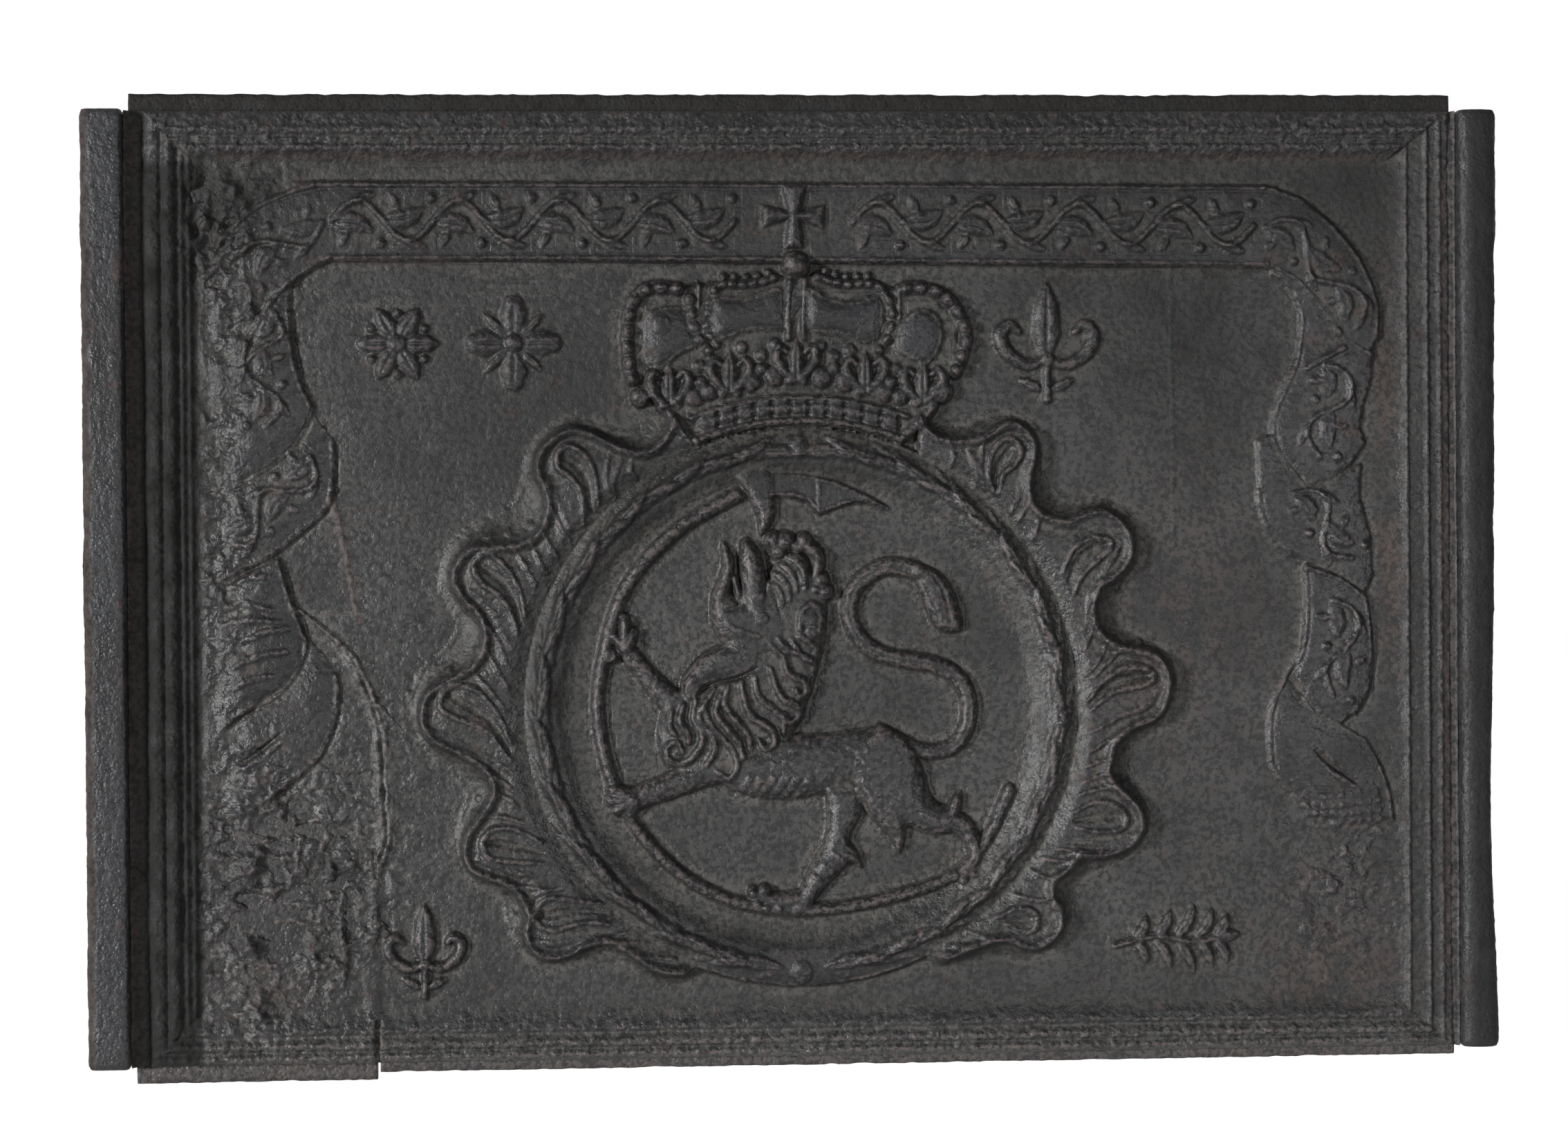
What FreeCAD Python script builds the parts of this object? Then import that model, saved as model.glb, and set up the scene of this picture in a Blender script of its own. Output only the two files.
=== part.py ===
import FreeCAD, Part
import math
import os

# Cast-iron side plate of a plate stove, standing upright as it is held in the stove.
# Millimetres, +X to the right, +Z up, the carved face looks towards -Y.
# The origin is the middle of the bounding box's bottom.

Vector = FreeCAD.Vector

doc = FreeCAD.newDocument("stove_plate")

# Driving dimensions

SIZES = [
    # rolls down the two upright edges, hollow at the back
    ("plate_width", 940.0),
    ("roll_length", 627.0),
    ("roll_width", 29.0),
    ("roll_depth", 30.0),
    ("roll_proud", 14.0),
    ("channel_width", 10.0),
    ("channel_depth", 16.0),
    # board and the tongues that enter the stove's top and bottom plates
    ("field_thickness", 9.0),
    ("tongue_thickness", 7.0),
    ("tongue_end_inset", 2.0),
    ("top_tongue_height", 12.0),
    ("low_tongue_height", 12.0),
    ("corner_drop", 5.0),
    ("corner_crack_x", 281.0),
    ("crack_gap", 2.0),
    # moulded frame round the field
    ("left_gutter", 11.0),
    ("right_gutter", 4.0),
    ("left_moulding_width", 33.0),
    ("right_moulding_width", 39.0),
    ("top_moulding_width", 32.0),
    ("bottom_moulding_width", 38.0),
    ("moulding_relief", 9.0),
    ("moulding_ledge", 6.0),
    ("bead_width", 9.0),
    # medallion
    ("medallion_lift", 11.0),
    ("ground_radius", 137.0),
    ("ground_thickness", 1.5),
    ("cove_width", 25.0),
    ("cove_rim_relief", 7.0),
    ("wreath_width", 21.0),
    ("wreath_relief", 10.0),
    ("boss_radius", 11.0),
    ("boss_relief", 12.0),
    # axe
    ("shaft_width", 9.0),
    ("shaft_relief", 5.0),
    ("blade_relief", 5.0),
    # lion, heights above the medallion's ground
    ("lion_head_relief", 11.0),
    ("lion_mane_relief", 10.0),
    ("lion_body_relief", 8.0),
    ("lion_limb_relief", 9.0),
    ("tail_width", 9.0),
    ("tail_relief", 7.0),
    # acanthus leaves round the wreath
    ("leaf_reach", 43.0),
    ("leaf_tip_radius", 24.0),
    ("leaf_relief", 11.0),
    # crown
    ("crown_gap", 4.0),
    ("crown_half_width", 118.0),
    ("crown_cap_relief", 5.0),
    ("crown_band_height", 19.0),
    ("crown_band_relief", 8.0),
    ("crown_arch_width", 8.0),
    ("crown_arch_relief", 4.0),
    ("berry_radius", 8.0),
    ("berry_relief", 5.0),
    ("orb_radius", 9.0),
    ("orb_relief", 11.0),
    ("cross_span", 40.0),
    ("cross_height", 44.0),
    ("cross_arm_width", 9.0),
    ("cross_relief", 8.0),
    # banner
    ("banner_gap", 4.0),
    ("banner_height", 54.0),
    ("banner_drop", 41.0),
    ("banner_fold_width", 90.0),
    ("banner_fall", 404.0),
    ("banner_relief", 4.0),
    ("banner_run_pitch", 34.0),
    ("banner_leaf_length", 26.0),
    ("banner_leaf_width", 14.0),
    ("banner_leaf_relief", 3.0),
    # ornaments on the open field
    ("field_ornament_relief", 5.0),
    ("rosette_radius", 28.0),
    ("quatrefoil_radius", 30.0),
    ("fleuron_height", 78.0),
    ("small_fleuron_height", 60.0),
    ("sprig_length", 84.0),
    ("lower_ornament_gap", 6.0),
]

sheet = doc.addObject("Spreadsheet::Sheet", "Sizes")
for row, (alias, value) in enumerate(SIZES, start=1):
    sheet.set(f"A{row}", alias.replace("_", " "))
    sheet.set(f"B{row}", str(value))
    sheet.setAlias(f"B{row}", alias)
doc.recompute()


def size(alias):
    return float(sheet.get(alias))


# Places that several pieces share, as formulas of the sheet and as numbers

FACE_Y = "(Sizes.roll_proud - Sizes.roll_depth / 2)"
GROUND_Y = f"({FACE_Y} - Sizes.ground_thickness)"
CAP_Y = f"({FACE_Y} - Sizes.crown_cap_relief)"
BANNER_Y = f"({FACE_Y} - Sizes.banner_relief)"
FOOT_Z = "Sizes.low_tongue_height"
HEAD_Z = f"({FOOT_Z} + Sizes.roll_length)"
BOARD_HALF = "(Sizes.plate_width / 2 - Sizes.roll_width)"
WREATH_OUTER = "(Sizes.ground_radius + Sizes.cove_width + Sizes.wreath_width)"
MEDALLION_Z = f"({FOOT_Z} + Sizes.bottom_moulding_width + Sizes.medallion_lift + {WREATH_OUTER})"
WREATH_MIDDLE = f"({WREATH_OUTER} - Sizes.wreath_width / 2)"

foot_z = size("low_tongue_height")
head_z = foot_z + size("roll_length")
board_half = size("plate_width") / 2 - size("roll_width")
frame_left = -board_half + size("left_gutter")
frame_right = board_half - size("right_gutter")
field_left = frame_left + size("left_moulding_width")
field_right = frame_right - size("right_moulding_width")
field_top = head_z - size("top_moulding_width")
field_bottom = foot_z + size("bottom_moulding_width")
ground_radius = size("ground_radius")
wreath_inner = ground_radius + size("cove_width")
wreath_outer = wreath_inner + size("wreath_width")
wreath_middle = wreath_outer - size("wreath_width") / 2
medallion_z = field_bottom + size("medallion_lift") + wreath_outer
banner_z = field_top - size("banner_drop")
banner_low = banner_z - size("banner_height") / 2
# The crown fills the height between the wreath and the banner
crown_z = medallion_z + wreath_outer + size("crown_gap")
crown_height = banner_low - size("banner_gap") - crown_z

pieces = []


def piece(feature, label):
    feature.Label = label
    pieces.append(feature)
    return feature


# Helpers: sketches, outlines and pads that grow from a plane towards the front

def new_sketch(body, role):
    plane = [p for p in body.Origin.OriginFeatures if p.Role == role][0]
    sketch = body.newObject("Sketcher::SketchObject", body.Name + "_sketch")
    sketch.AttachmentSupport = [(plane, "")]
    sketch.MapMode = "FlatFace"
    return sketch


def flat(points):
    return [Vector(x, z, 0) for x, z in points]


def add_lines(sketch, points):
    corners = flat(points)
    for start, end in zip(corners, corners[1:] + corners[:1]):
        sketch.addGeometry(Part.LineSegment(start, end), False)


def add_spline(sketch, points):
    curve = Part.BSplineCurve()
    curve.interpolate(Points=flat(points))
    sketch.addGeometry(curve, False)


def add_closed_spline(sketch, points):
    curve = Part.BSplineCurve()
    curve.interpolate(Points=flat(points), PeriodicFlag=True)
    sketch.addGeometry(curve, False)


def relief(label, base_y, height, draw):
    """A piece of relief: an outline on the face, padded towards the front."""
    body = doc.addObject("PartDesign::Body", label)
    sketch = new_sketch(body, "XZ_Plane")
    draw(sketch)
    pad = body.newObject("PartDesign::Pad", label + "_pad")
    pad.Profile = sketch
    pad.setExpression("Length", height)
    body.setExpression("Placement.Base.y", base_y)
    return body


def carved(label, base_y, height, points):
    return relief(label, base_y, height, lambda sketch: add_closed_spline(sketch, points))


def sawn(label, base_y, height, points):
    return relief(label, base_y, height, lambda sketch: add_lines(sketch, points))


def ribbon_edges(path, widths):
    """The two edges of a strip that follows a path, half its width to each side."""
    left = []
    right = []
    last = len(path) - 1
    for i, (x, z) in enumerate(path):
        x0, z0 = path[max(i - 1, 0)]
        x1, z1 = path[min(i + 1, last)]
        run = math.hypot(x1 - x0, z1 - z0)
        across = (-(z1 - z0) / run * widths[i] / 2, (x1 - x0) / run * widths[i] / 2)
        left.append((x + across[0], z + across[1]))
        right.append((x - across[0], z - across[1]))
    return left, right


def add_ribbon(sketch, path, widths):
    left, right = ribbon_edges(path, widths)
    add_spline(sketch, left)
    add_spline(sketch, right)
    sketch.addGeometry(Part.LineSegment(*flat([left[0], right[0]])), False)
    sketch.addGeometry(Part.LineSegment(*flat([left[-1], right[-1]])), False)


def strip(label, base_y, height, path, widths):
    return relief(label, base_y, height, lambda sketch: add_ribbon(sketch, path, widths))


def without(label, base, tools):
    """The base piece with the room for its neighbours cut out of it."""
    tool = tools[0]
    if len(tools) > 1:
        tool = doc.addObject("Part::MultiFuse", label + "_room")
        tool.Shapes = tools
    cut = doc.addObject("Part::Cut", label + "_fitted")
    cut.Base = base
    cut.Tool = tool
    return cut


def group(label, solids):
    compound = doc.addObject("Part::Compound", label)
    compound.Links = solids
    return compound


def box(label, sizes, corner):
    block = doc.addObject("Part::Box", label)
    for name, expression in zip(("Length", "Width", "Height"), sizes):
        block.setExpression(name, expression)
    for name, expression in zip("xyz", corner):
        block.setExpression("Placement.Base." + name, expression)
    return block


def dome(label, base_y, radius, height, x, z):
    """A round button on a short collar, turned about an axis square to the face."""
    body = doc.addObject("PartDesign::Body", label)
    sketch = new_sketch(body, "XY_Plane")
    collar = max(height - radius, height * 0.15)
    rise = height - collar
    ball = (radius ** 2 + rise ** 2) / (2 * rise)
    half = math.atan2(radius, ball - rise) / 2
    foot = Vector(radius, 0, 0)
    rim = Vector(radius, -collar, 0)
    shoulder = Vector(ball * math.sin(half), ball - height - ball * math.cos(half), 0)
    top = Vector(0, -height, 0)
    centre = Vector(0, 0, 0)
    sketch.addGeometry(Part.LineSegment(foot, rim), False)
    sketch.addGeometry(Part.Arc(rim, shoulder, top), False)
    sketch.addGeometry(Part.LineSegment(top, centre), False)
    sketch.addGeometry(Part.LineSegment(centre, foot), False)
    turn = body.newObject("PartDesign::Revolution", label + "_turn")
    turn.Profile = sketch
    turn.ReferenceAxis = (sketch, ["V_Axis"])
    turn.Angle = 360
    body.setExpression("Placement.Base.x", str(x))
    body.setExpression("Placement.Base.y", base_y)
    body.setExpression("Placement.Base.z", str(z))
    return body


# Board and tongues

field = box(
    "field_board",
    (f"2 * {BOARD_HALF}", "Sizes.field_thickness", "Sizes.roll_length"),
    (f"-{BOARD_HALF}", FACE_Y, FOOT_Z),
)
piece(field, "field_panel")

TONGUE_Y = f"({FACE_Y} + (Sizes.field_thickness - Sizes.tongue_thickness) / 2)"
TONGUE_END = f"({BOARD_HALF} - Sizes.tongue_end_inset)"

piece(box(
    "tongue_top",
    (f"2 * {TONGUE_END}", "Sizes.tongue_thickness", "Sizes.top_tongue_height"),
    (f"-{TONGUE_END}", TONGUE_Y, HEAD_Z),
), "top_tongue")

# The lower left corner is cracked off and sits a little lower than the rest.
piece(box(
    "tongue_low_left",
    (f"{TONGUE_END} - Sizes.corner_crack_x - Sizes.crack_gap / 2", "Sizes.tongue_thickness", FOOT_Z),
    (f"-{TONGUE_END}", TONGUE_Y, "0"),
), "bottom_tongue_left")
piece(box(
    "tongue_low_right",
    (f"{TONGUE_END} + Sizes.corner_crack_x - Sizes.crack_gap / 2", "Sizes.tongue_thickness",
     f"{FOOT_Z} - Sizes.corner_drop"),
    ("Sizes.crack_gap / 2 - Sizes.corner_crack_x", TONGUE_Y, "Sizes.corner_drop"),
), "bottom_tongue_right")


# Edge rolls: half-round in front, with a channel at the back for the next plate's edge

def edge_roll(label, side_x):
    shank = box(
        label + "_shank",
        ("Sizes.roll_width", "Sizes.roll_depth - Sizes.roll_width / 2", "Sizes.roll_length"),
        (f"{side_x} - Sizes.roll_width / 2", "(Sizes.roll_width - Sizes.roll_depth) / 2", FOOT_Z),
    )
    nose = doc.addObject("Part::Cylinder", label + "_nose")
    nose.setExpression("Radius", "Sizes.roll_width / 2")
    nose.setExpression("Height", "Sizes.roll_length")
    nose.setExpression("Placement.Base.x", side_x)
    nose.setExpression("Placement.Base.y", "(Sizes.roll_width - Sizes.roll_depth) / 2")
    nose.setExpression("Placement.Base.z", FOOT_Z)
    bar = doc.addObject("Part::Fuse", label + "_bar")
    bar.Base = shank
    bar.Tool = nose
    channel = box(
        label + "_channel",
        ("Sizes.channel_width", "Sizes.channel_depth", "Sizes.roll_length"),
        (f"{side_x} - Sizes.channel_width / 2", "Sizes.roll_depth / 2 - Sizes.channel_depth", FOOT_Z),
    )
    return without(label, bar, [channel])


piece(edge_roll("roll_left", "(Sizes.roll_width - Sizes.plate_width) / 2"), "left_edge_roll")
piece(edge_roll("roll_right", "(Sizes.plate_width - Sizes.roll_width) / 2"), "right_edge_roll")


# Moulded frame: a bead, a band with a round edge, and a slope down to the field, mitred at the corners

def moulding_profile(width):
    """Points and bulges of the section: distance from the outer edge and height above the field."""
    bead = size("bead_width")
    ledge = size("moulding_ledge")
    crest = size("moulding_relief")
    return [
        ((0, 0), None),
        ((0, ledge), (bead / 2, crest)),
        ((bead, ledge), None),
        ((bead * 1.2, ledge), (bead * 1.8, crest)),
        ((bead * 2.4, ledge * 0.9), None),
        ((width, 0), None),
    ]


def add_profile(sketch, width, place):
    profile = moulding_profile(width)
    following = profile[1:] + profile[:1]
    for (start, bulge), (end, _) in zip(profile, following):
        first = place(*start)
        last = place(*end)
        if bulge:
            sketch.addGeometry(Part.Arc(first, place(*bulge), last), False)
        else:
            sketch.addGeometry(Part.LineSegment(first, last), False)


def moulding(label, role, width, place, length, start, corners):
    """A run of moulding of that width, cut to the mitred plan given by its corners."""
    bar = doc.addObject("PartDesign::Body", label + "_bar")
    sketch = new_sketch(bar, role)
    add_profile(sketch, width, place)
    pad = bar.newObject("PartDesign::Pad", label + "_run")
    pad.Profile = sketch
    pad.setExpression("Length", length)
    bar.setExpression("Placement.Base.y", FACE_Y)
    bar.setExpression("Placement.Base." + start[0], start[1])
    plan = sawn(label + "_plan", FACE_Y, "Sizes.moulding_relief * 2", corners)
    fitted = doc.addObject("Part::MultiCommon", label + "_mitred")
    fitted.Shapes = [bar, plan]
    return fitted


outer_corners = {
    "top_left": (frame_left, head_z),
    "top_right": (frame_right, head_z),
    "bottom_left": (frame_left, foot_z),
    "bottom_right": (frame_right, foot_z),
}
inner_corners = {
    "top_left": (field_left, field_top),
    "top_right": (field_right, field_top),
    "bottom_left": (field_left, field_bottom),
    "bottom_right": (field_right, field_bottom),
}
ACROSS = f"2 * {BOARD_HALF}"
crack_left = -size("corner_crack_x") - size("crack_gap") / 2
crack_right = -size("corner_crack_x") + size("crack_gap") / 2

piece(moulding(
    "frame_top", "YZ_Plane", size("top_moulding_width"),
    lambda d, h: Vector(-h, head_z - d, 0), ACROSS, ("x", f"-{BOARD_HALF}"),
    [outer_corners["top_left"], outer_corners["top_right"],
     inner_corners["top_right"], inner_corners["top_left"]],
), "top_moulding")
piece(moulding(
    "frame_left", "XY_Plane", size("left_moulding_width"),
    lambda d, h: Vector(frame_left + d, -h, 0), "Sizes.roll_length", ("z", FOOT_Z),
    [outer_corners["bottom_left"], inner_corners["bottom_left"],
     inner_corners["top_left"], outer_corners["top_left"]],
), "left_moulding")
piece(moulding(
    "frame_right", "XY_Plane", size("right_moulding_width"),
    lambda d, h: Vector(frame_right - d, -h, 0), "Sizes.roll_length", ("z", FOOT_Z),
    [outer_corners["bottom_right"], inner_corners["bottom_right"],
     inner_corners["top_right"], outer_corners["top_right"]],
), "right_moulding")
piece(moulding(
    "frame_low_left", "YZ_Plane", size("bottom_moulding_width"),
    lambda d, h: Vector(-h, foot_z + d, 0), ACROSS, ("x", f"-{BOARD_HALF}"),
    [outer_corners["bottom_left"], (crack_left, foot_z),
     (crack_left, field_bottom), inner_corners["bottom_left"]],
), "bottom_moulding_left")
piece(moulding(
    "frame_low_right", "YZ_Plane", size("bottom_moulding_width"),
    lambda d, h: Vector(-h, foot_z + d, 0), ACROSS, ("x", f"-{BOARD_HALF}"),
    [(crack_right, foot_z), outer_corners["bottom_right"],
     inner_corners["bottom_right"], (crack_right, field_bottom)],
), "bottom_moulding_right")


# Medallion: a dished ground inside a laurel wreath of two branches that meet at round bosses

# The carving inside the wreath is drawn for a ground of this radius and scaled with the ground
DRAWN_GROUND_RADIUS = 137.0
carving_scale = ground_radius / DRAWN_GROUND_RADIUS


def medallion(points):
    """Points of the carving about the medallion's centre, put on the plate."""
    return [(x * carving_scale, medallion_z + z * carving_scale) for x, z in points]


def limb(label, path, widths):
    """A leg as a strip of changing width."""
    scaled = [width * carving_scale for width in widths]
    return strip(label, GROUND_Y, "Sizes.lion_limb_relief", medallion(path), scaled)


def medallion_ground():
    body = doc.addObject("PartDesign::Body", "dish")
    sketch = new_sketch(body, "XY_Plane")
    ground = size("ground_thickness")
    rim = size("cove_rim_relief")
    flat_end = Vector(ground_radius, -ground, 0)
    rim_top = Vector(wreath_inner, -rim, 0)
    hollow = Vector(ground_radius + size("cove_width") * 0.6, -ground - (rim - ground) * 0.4, 0)
    sketch.addGeometry(Part.LineSegment(Vector(0, 0, 0), Vector(0, -ground, 0)), False)
    sketch.addGeometry(Part.LineSegment(Vector(0, -ground, 0), flat_end), False)
    sketch.addGeometry(Part.Arc(flat_end, hollow, rim_top), False)
    sketch.addGeometry(Part.LineSegment(rim_top, Vector(wreath_inner, 0, 0)), False)
    sketch.addGeometry(Part.LineSegment(Vector(wreath_inner, 0, 0), Vector(0, 0, 0)), False)
    turn = body.newObject("PartDesign::Revolution", "dish_turn")
    turn.Profile = sketch
    turn.ReferenceAxis = (sketch, ["V_Axis"])
    turn.Angle = 360
    body.setExpression("Placement.Base.y", FACE_Y)
    body.setExpression("Placement.Base.z", MEDALLION_Z)
    return body


def wreath_branch(label, quarter_turn, bosses):
    body = doc.addObject("PartDesign::Body", label)
    sketch = new_sketch(body, "XY_Plane")
    inner = Vector(wreath_inner, 0, 0)
    outer = Vector(wreath_outer, 0, 0)
    side = size("wreath_relief") * 0.5
    crest = Vector(wreath_middle, -size("wreath_relief"), 0)
    inner_side = inner + Vector(0, -side, 0)
    outer_side = outer + Vector(0, -side, 0)
    sketch.addGeometry(Part.LineSegment(inner, inner_side), False)
    sketch.addGeometry(Part.Arc(inner_side, crest, outer_side), False)
    sketch.addGeometry(Part.LineSegment(outer_side, outer), False)
    sketch.addGeometry(Part.LineSegment(outer, inner), False)
    turn = body.newObject("PartDesign::Revolution", label + "_turn")
    turn.Profile = sketch
    turn.ReferenceAxis = (sketch, ["V_Axis"])
    turn.Angle = 180
    body.Placement = FreeCAD.Placement(Vector(0, 0, 0), FreeCAD.Rotation(Vector(0, 1, 0), quarter_turn))
    body.setExpression("Placement.Base.y", FACE_Y)
    body.setExpression("Placement.Base.z", MEDALLION_Z)
    return without(label, body, bosses)


def button_seat(label, radius, height, x, z):
    """The round hole that a button fills in the relief around it."""
    seat = doc.addObject("Part::Cylinder", label)
    seat.setExpression("Radius", radius)
    seat.setExpression("Height", height)
    seat.Placement = FreeCAD.Placement(Vector(0, 0, 0), FreeCAD.Rotation(Vector(1, 0, 0), 90))
    seat.setExpression("Placement.Base.x", str(x))
    seat.setExpression("Placement.Base.y", FACE_Y)
    seat.setExpression("Placement.Base.z", str(z))
    return seat


TOP_BOSS_Z = f"({MEDALLION_Z} + {WREATH_MIDDLE})"
LOW_BOSS_Z = f"({MEDALLION_Z} - {WREATH_MIDDLE})"
seats = [
    button_seat("seat_top", "Sizes.boss_radius", "Sizes.boss_relief", 0, TOP_BOSS_Z),
    button_seat("seat_low", "Sizes.boss_radius", "Sizes.boss_relief", 0, LOW_BOSS_Z),
]

dish = medallion_ground()
dish_fitted = without("dish", dish, seats)
branch_left = wreath_branch("branch_left", 90, seats)
branch_right = wreath_branch("branch_right", -90, seats)
piece(branch_left, "wreath_left_branch")
piece(branch_right, "wreath_right_branch")
top_boss = dome("boss_top", FACE_Y, size("boss_radius"), size("boss_relief"), 0, TOP_BOSS_Z)
low_boss = dome("boss_low", FACE_Y, size("boss_radius"), size("boss_relief"), 0, LOW_BOSS_Z)
piece(top_boss, "wreath_top_boss")
piece(low_boss, "wreath_bottom_boss")

# Long-handled axe: its shaft bends round the lion and passes under the paws

shaft_path = medallion([
    (-45, 134), (-76, 119), (-101, 98), (-121, 66), (-134, 30), (-136, -6), (-127, -47), (-113, -76),
    (-94, -100), (-74, -117), (-49, -130), (-24, -136), (2, -138), (31, -134), (61, -127), (90, -116),
    (110, -101), (126, -83), (138, -60),
])
shaft = strip("shaft", GROUND_Y, "Sizes.shaft_relief", shaft_path, [size("shaft_width")] * len(shaft_path))
blade = sawn("blade", GROUND_Y, "Sizes.blade_relief", medallion([
    (-42, 146), (-21, 149), (20, 144), (62, 126), (35, 134), (12, 125), (-10, 135), (-18, 137), (-20, 121),
    (-27, 115), (-41, 121),
]))
blade_fitted = without("blade", blade, [dish])
shaft_fitted = without("shaft", shaft, [blade, dish])
piece(blade_fitted, "axe_blade")
piece(shaft_fitted, "axe_shaft")
piece(dish_fitted, "medallion_dish")

# Lion, in relief on the medallion's ground, each part cut back where the next one lies over it

lion_head = carved("head", GROUND_Y, "Sizes.lion_head_relief", medallion([
    (-58, 82), (-51, 78), (-42, 69), (-45, 86), (-43, 103), (-36, 111), (-30, 101), (-25, 88),
    (-10, 90), (6, 84), (13, 73), (4, 62), (-12, 52), (-35, 46), (-52, 56), (-61, 70),
]))
piece(lion_head, "lion_head")

head_crown = carved("head_crown_leaf", GROUND_Y, "Sizes.lion_head_relief", medallion([
    (-22, 102), (-17, 114), (-5, 115), (9, 108), (13, 98), (20, 88), (19, 75), (8, 84), (-6, 96),
]))
piece(without("head_crown", head_crown, [lion_head]), "lion_head_crown")

mane = carved("mane_locks", GROUND_Y, "Sizes.lion_mane_relief", medallion([
    (-42, 46), (-66, 41), (-79, 27), (-79, 13), (-94, 2), (-99, -18), (-90, -35), (-73, -36), (-63, -46),
    (-49, -44), (-40, -31), (-26, -29), (-17, -14), (-3, -8), (2, 6), (7, 20), (9, 38), (15, 52), (10, 66),
    (-15, 60),
]))
piece(without("mane", mane, [lion_head]), "lion_mane")

limb_over_shaft = [shaft, dish]
raised_leg_path = [(-76, -2), (-92, 6), (-106, 24), (-116, 39), (-126, 49)]
raised_leg = limb("raised_leg", raised_leg_path, [20, 17, 14, 15, 16])
piece(without("raised_leg", raised_leg, [mane] + limb_over_shaft), "lion_raised_foreleg")

low_leg_path = [(-46, -44), (-72, -48), (-94, -54), (-110, -58), (-126, -58)]
low_leg = limb("low_leg", low_leg_path, [22, 18, 15, 16, 20])
piece(without("low_leg", low_leg, [mane] + limb_over_shaft), "lion_lower_foreleg")

rear_leg = carved("rear_leg", GROUND_Y, "Sizes.lion_limb_relief", medallion([
    (48, -18), (70, -26), (81, -50), (83, -68), (96, -72), (103, -63), (108, -69), (113, -88), (117, -100),
    (111, -111), (99, -112), (105, -95), (97, -84), (71, -81), (64, -97), (55, -78), (43, -54),
]))
piece(without("rear_leg", rear_leg, limb_over_shaft), "lion_rear_hind_leg")

front_leg = carved("front_leg", GROUND_Y, "Sizes.lion_limb_relief", medallion([
    (22, -50), (35, -54), (37, -66), (31, -75), (36, -90), (37, -103), (28, -97), (18, -110), (4, -124),
    (-12, -131), (-30, -132), (-31, -124), (-16, -121), (0, -119), (10, -104), (19, -86), (23, -68),
]))
piece(without("front_leg", front_leg, [rear_leg] + limb_over_shaft), "lion_front_hind_leg")

torso = carved("torso", GROUND_Y, "Sizes.lion_body_relief", medallion([
    (-60, -30), (-20, -17), (15, -15), (52, -15), (66, -26), (58, -46), (40, -53), (15, -51), (-12, -55),
    (-40, -52), (-62, -44),
]))
piece(without("torso", torso, [mane, low_leg, rear_leg, front_leg]), "lion_torso")

tail_path = medallion([
    (56, -17), (71, -27), (88, -31), (103, -26), (111, -9), (110, 8), (100, 22), (84, 30), (65, 33),
    (48, 37), (37, 48), (32, 61), (34, 76), (45, 88), (60, 94), (78, 92), (93, 80), (101, 62),
])
tail_swell = [1, 1, 1, 1, 1, 1, 1, 1, 1, 1.1, 1.1, 1.1, 1.3, 1.6, 2.0, 2.4, 2.0, 0.8]
tail = strip("tail", GROUND_Y, "Sizes.tail_relief", tail_path, [size("tail_width") * k for k in tail_swell])
piece(without("tail", tail, [rear_leg, torso]), "lion_tail")

# Acanthus leaves: five lobes down each side, each rounding a tip and rooted on the wreath

LEFT_LOBES = [
    # tip angle, then tip distance beyond the wreath and tip radius against the sheet's
    (133, 1.00, 0.96),
    (157, 1.02, 1.00),
    (180, 1.00, 1.04),
    (204, 0.86, 1.08),
    (222, 0.88, 0.92),
]
RIGHT_LOBES = [
    (51, 0.84, 1.00),
    (28, 1.09, 1.00),
    (3.5, 1.05, 1.04),
    (-21, 1.00, 1.00),
    (-43, 0.72, 0.96),
]
# angle of each notch between lobes, and its distance beyond the wreath against the sheet's
LEFT_NOTCHES = [(116, 0.60), (147, 0.60), (168, 0.60), (193, 0.51), (213, 0.60), (240, 0.33)]
RIGHT_NOTCHES = [(66, 0.56), (39, 0.70), (16, 0.56), (-9, 0.51), (-33, 0.70), (-60, 0.28)]


def about_medallion(angle, radius):
    turn = math.radians(angle)
    return (radius * math.cos(turn), medallion_z + radius * math.sin(turn))


def leaf_lobe(label, tip, start, end):
    """One lobe: out along a notch, round the tip, back along the next notch, and along the wreath."""
    reach = size("leaf_reach")
    tip_angle = tip[0]
    tip_reach = tip[1] * reach
    tip_radius = tip[2] * size("leaf_tip_radius")
    way = 1 if end[0] > start[0] else -1
    cx, cz = about_medallion(tip_angle, wreath_outer + tip_reach)
    rim = []
    for turn in (-80, -35, 10, 55):
        aim = math.radians(tip_angle + way * turn)
        rim.append((cx + tip_radius * math.cos(aim), cz + tip_radius * math.sin(aim)))
    notch_out = about_medallion(start[0], wreath_outer + start[1] * reach)
    notch_back = about_medallion(end[0], wreath_outer + end[1] * reach)
    root_start = about_medallion(start[0], wreath_outer)
    root_end = about_medallion(end[0], wreath_outer)
    root_middle = about_medallion((start[0] + end[0]) / 2, wreath_outer)

    def draw(sketch):
        add_spline(sketch, [notch_out] + rim + [notch_back])
        sketch.addGeometry(Part.LineSegment(*flat([root_start, notch_out])), False)
        sketch.addGeometry(Part.LineSegment(*flat([notch_back, root_end])), False)
        sketch.addGeometry(Part.Arc(*flat([root_end, root_middle, root_start])), False)

    return relief(label, FACE_Y, "Sizes.leaf_relief", draw)


for side, lobes, notches in (("left", LEFT_LOBES, LEFT_NOTCHES), ("right", RIGHT_LOBES, RIGHT_NOTCHES)):
    for number, tip in enumerate(lobes):
        lobe = leaf_lobe(f"leaf_{side}_{number + 1}", tip, notches[number], notches[number + 1])
        piece(lobe, f"acanthus_{side}_lobe_{number + 1}")


# Crown above the wreath
# It is drawn at this height and half width and scaled to the plate's
DRAWN_CROWN_HEIGHT = 104.0
DRAWN_CROWN_HALF = 118.0


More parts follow.
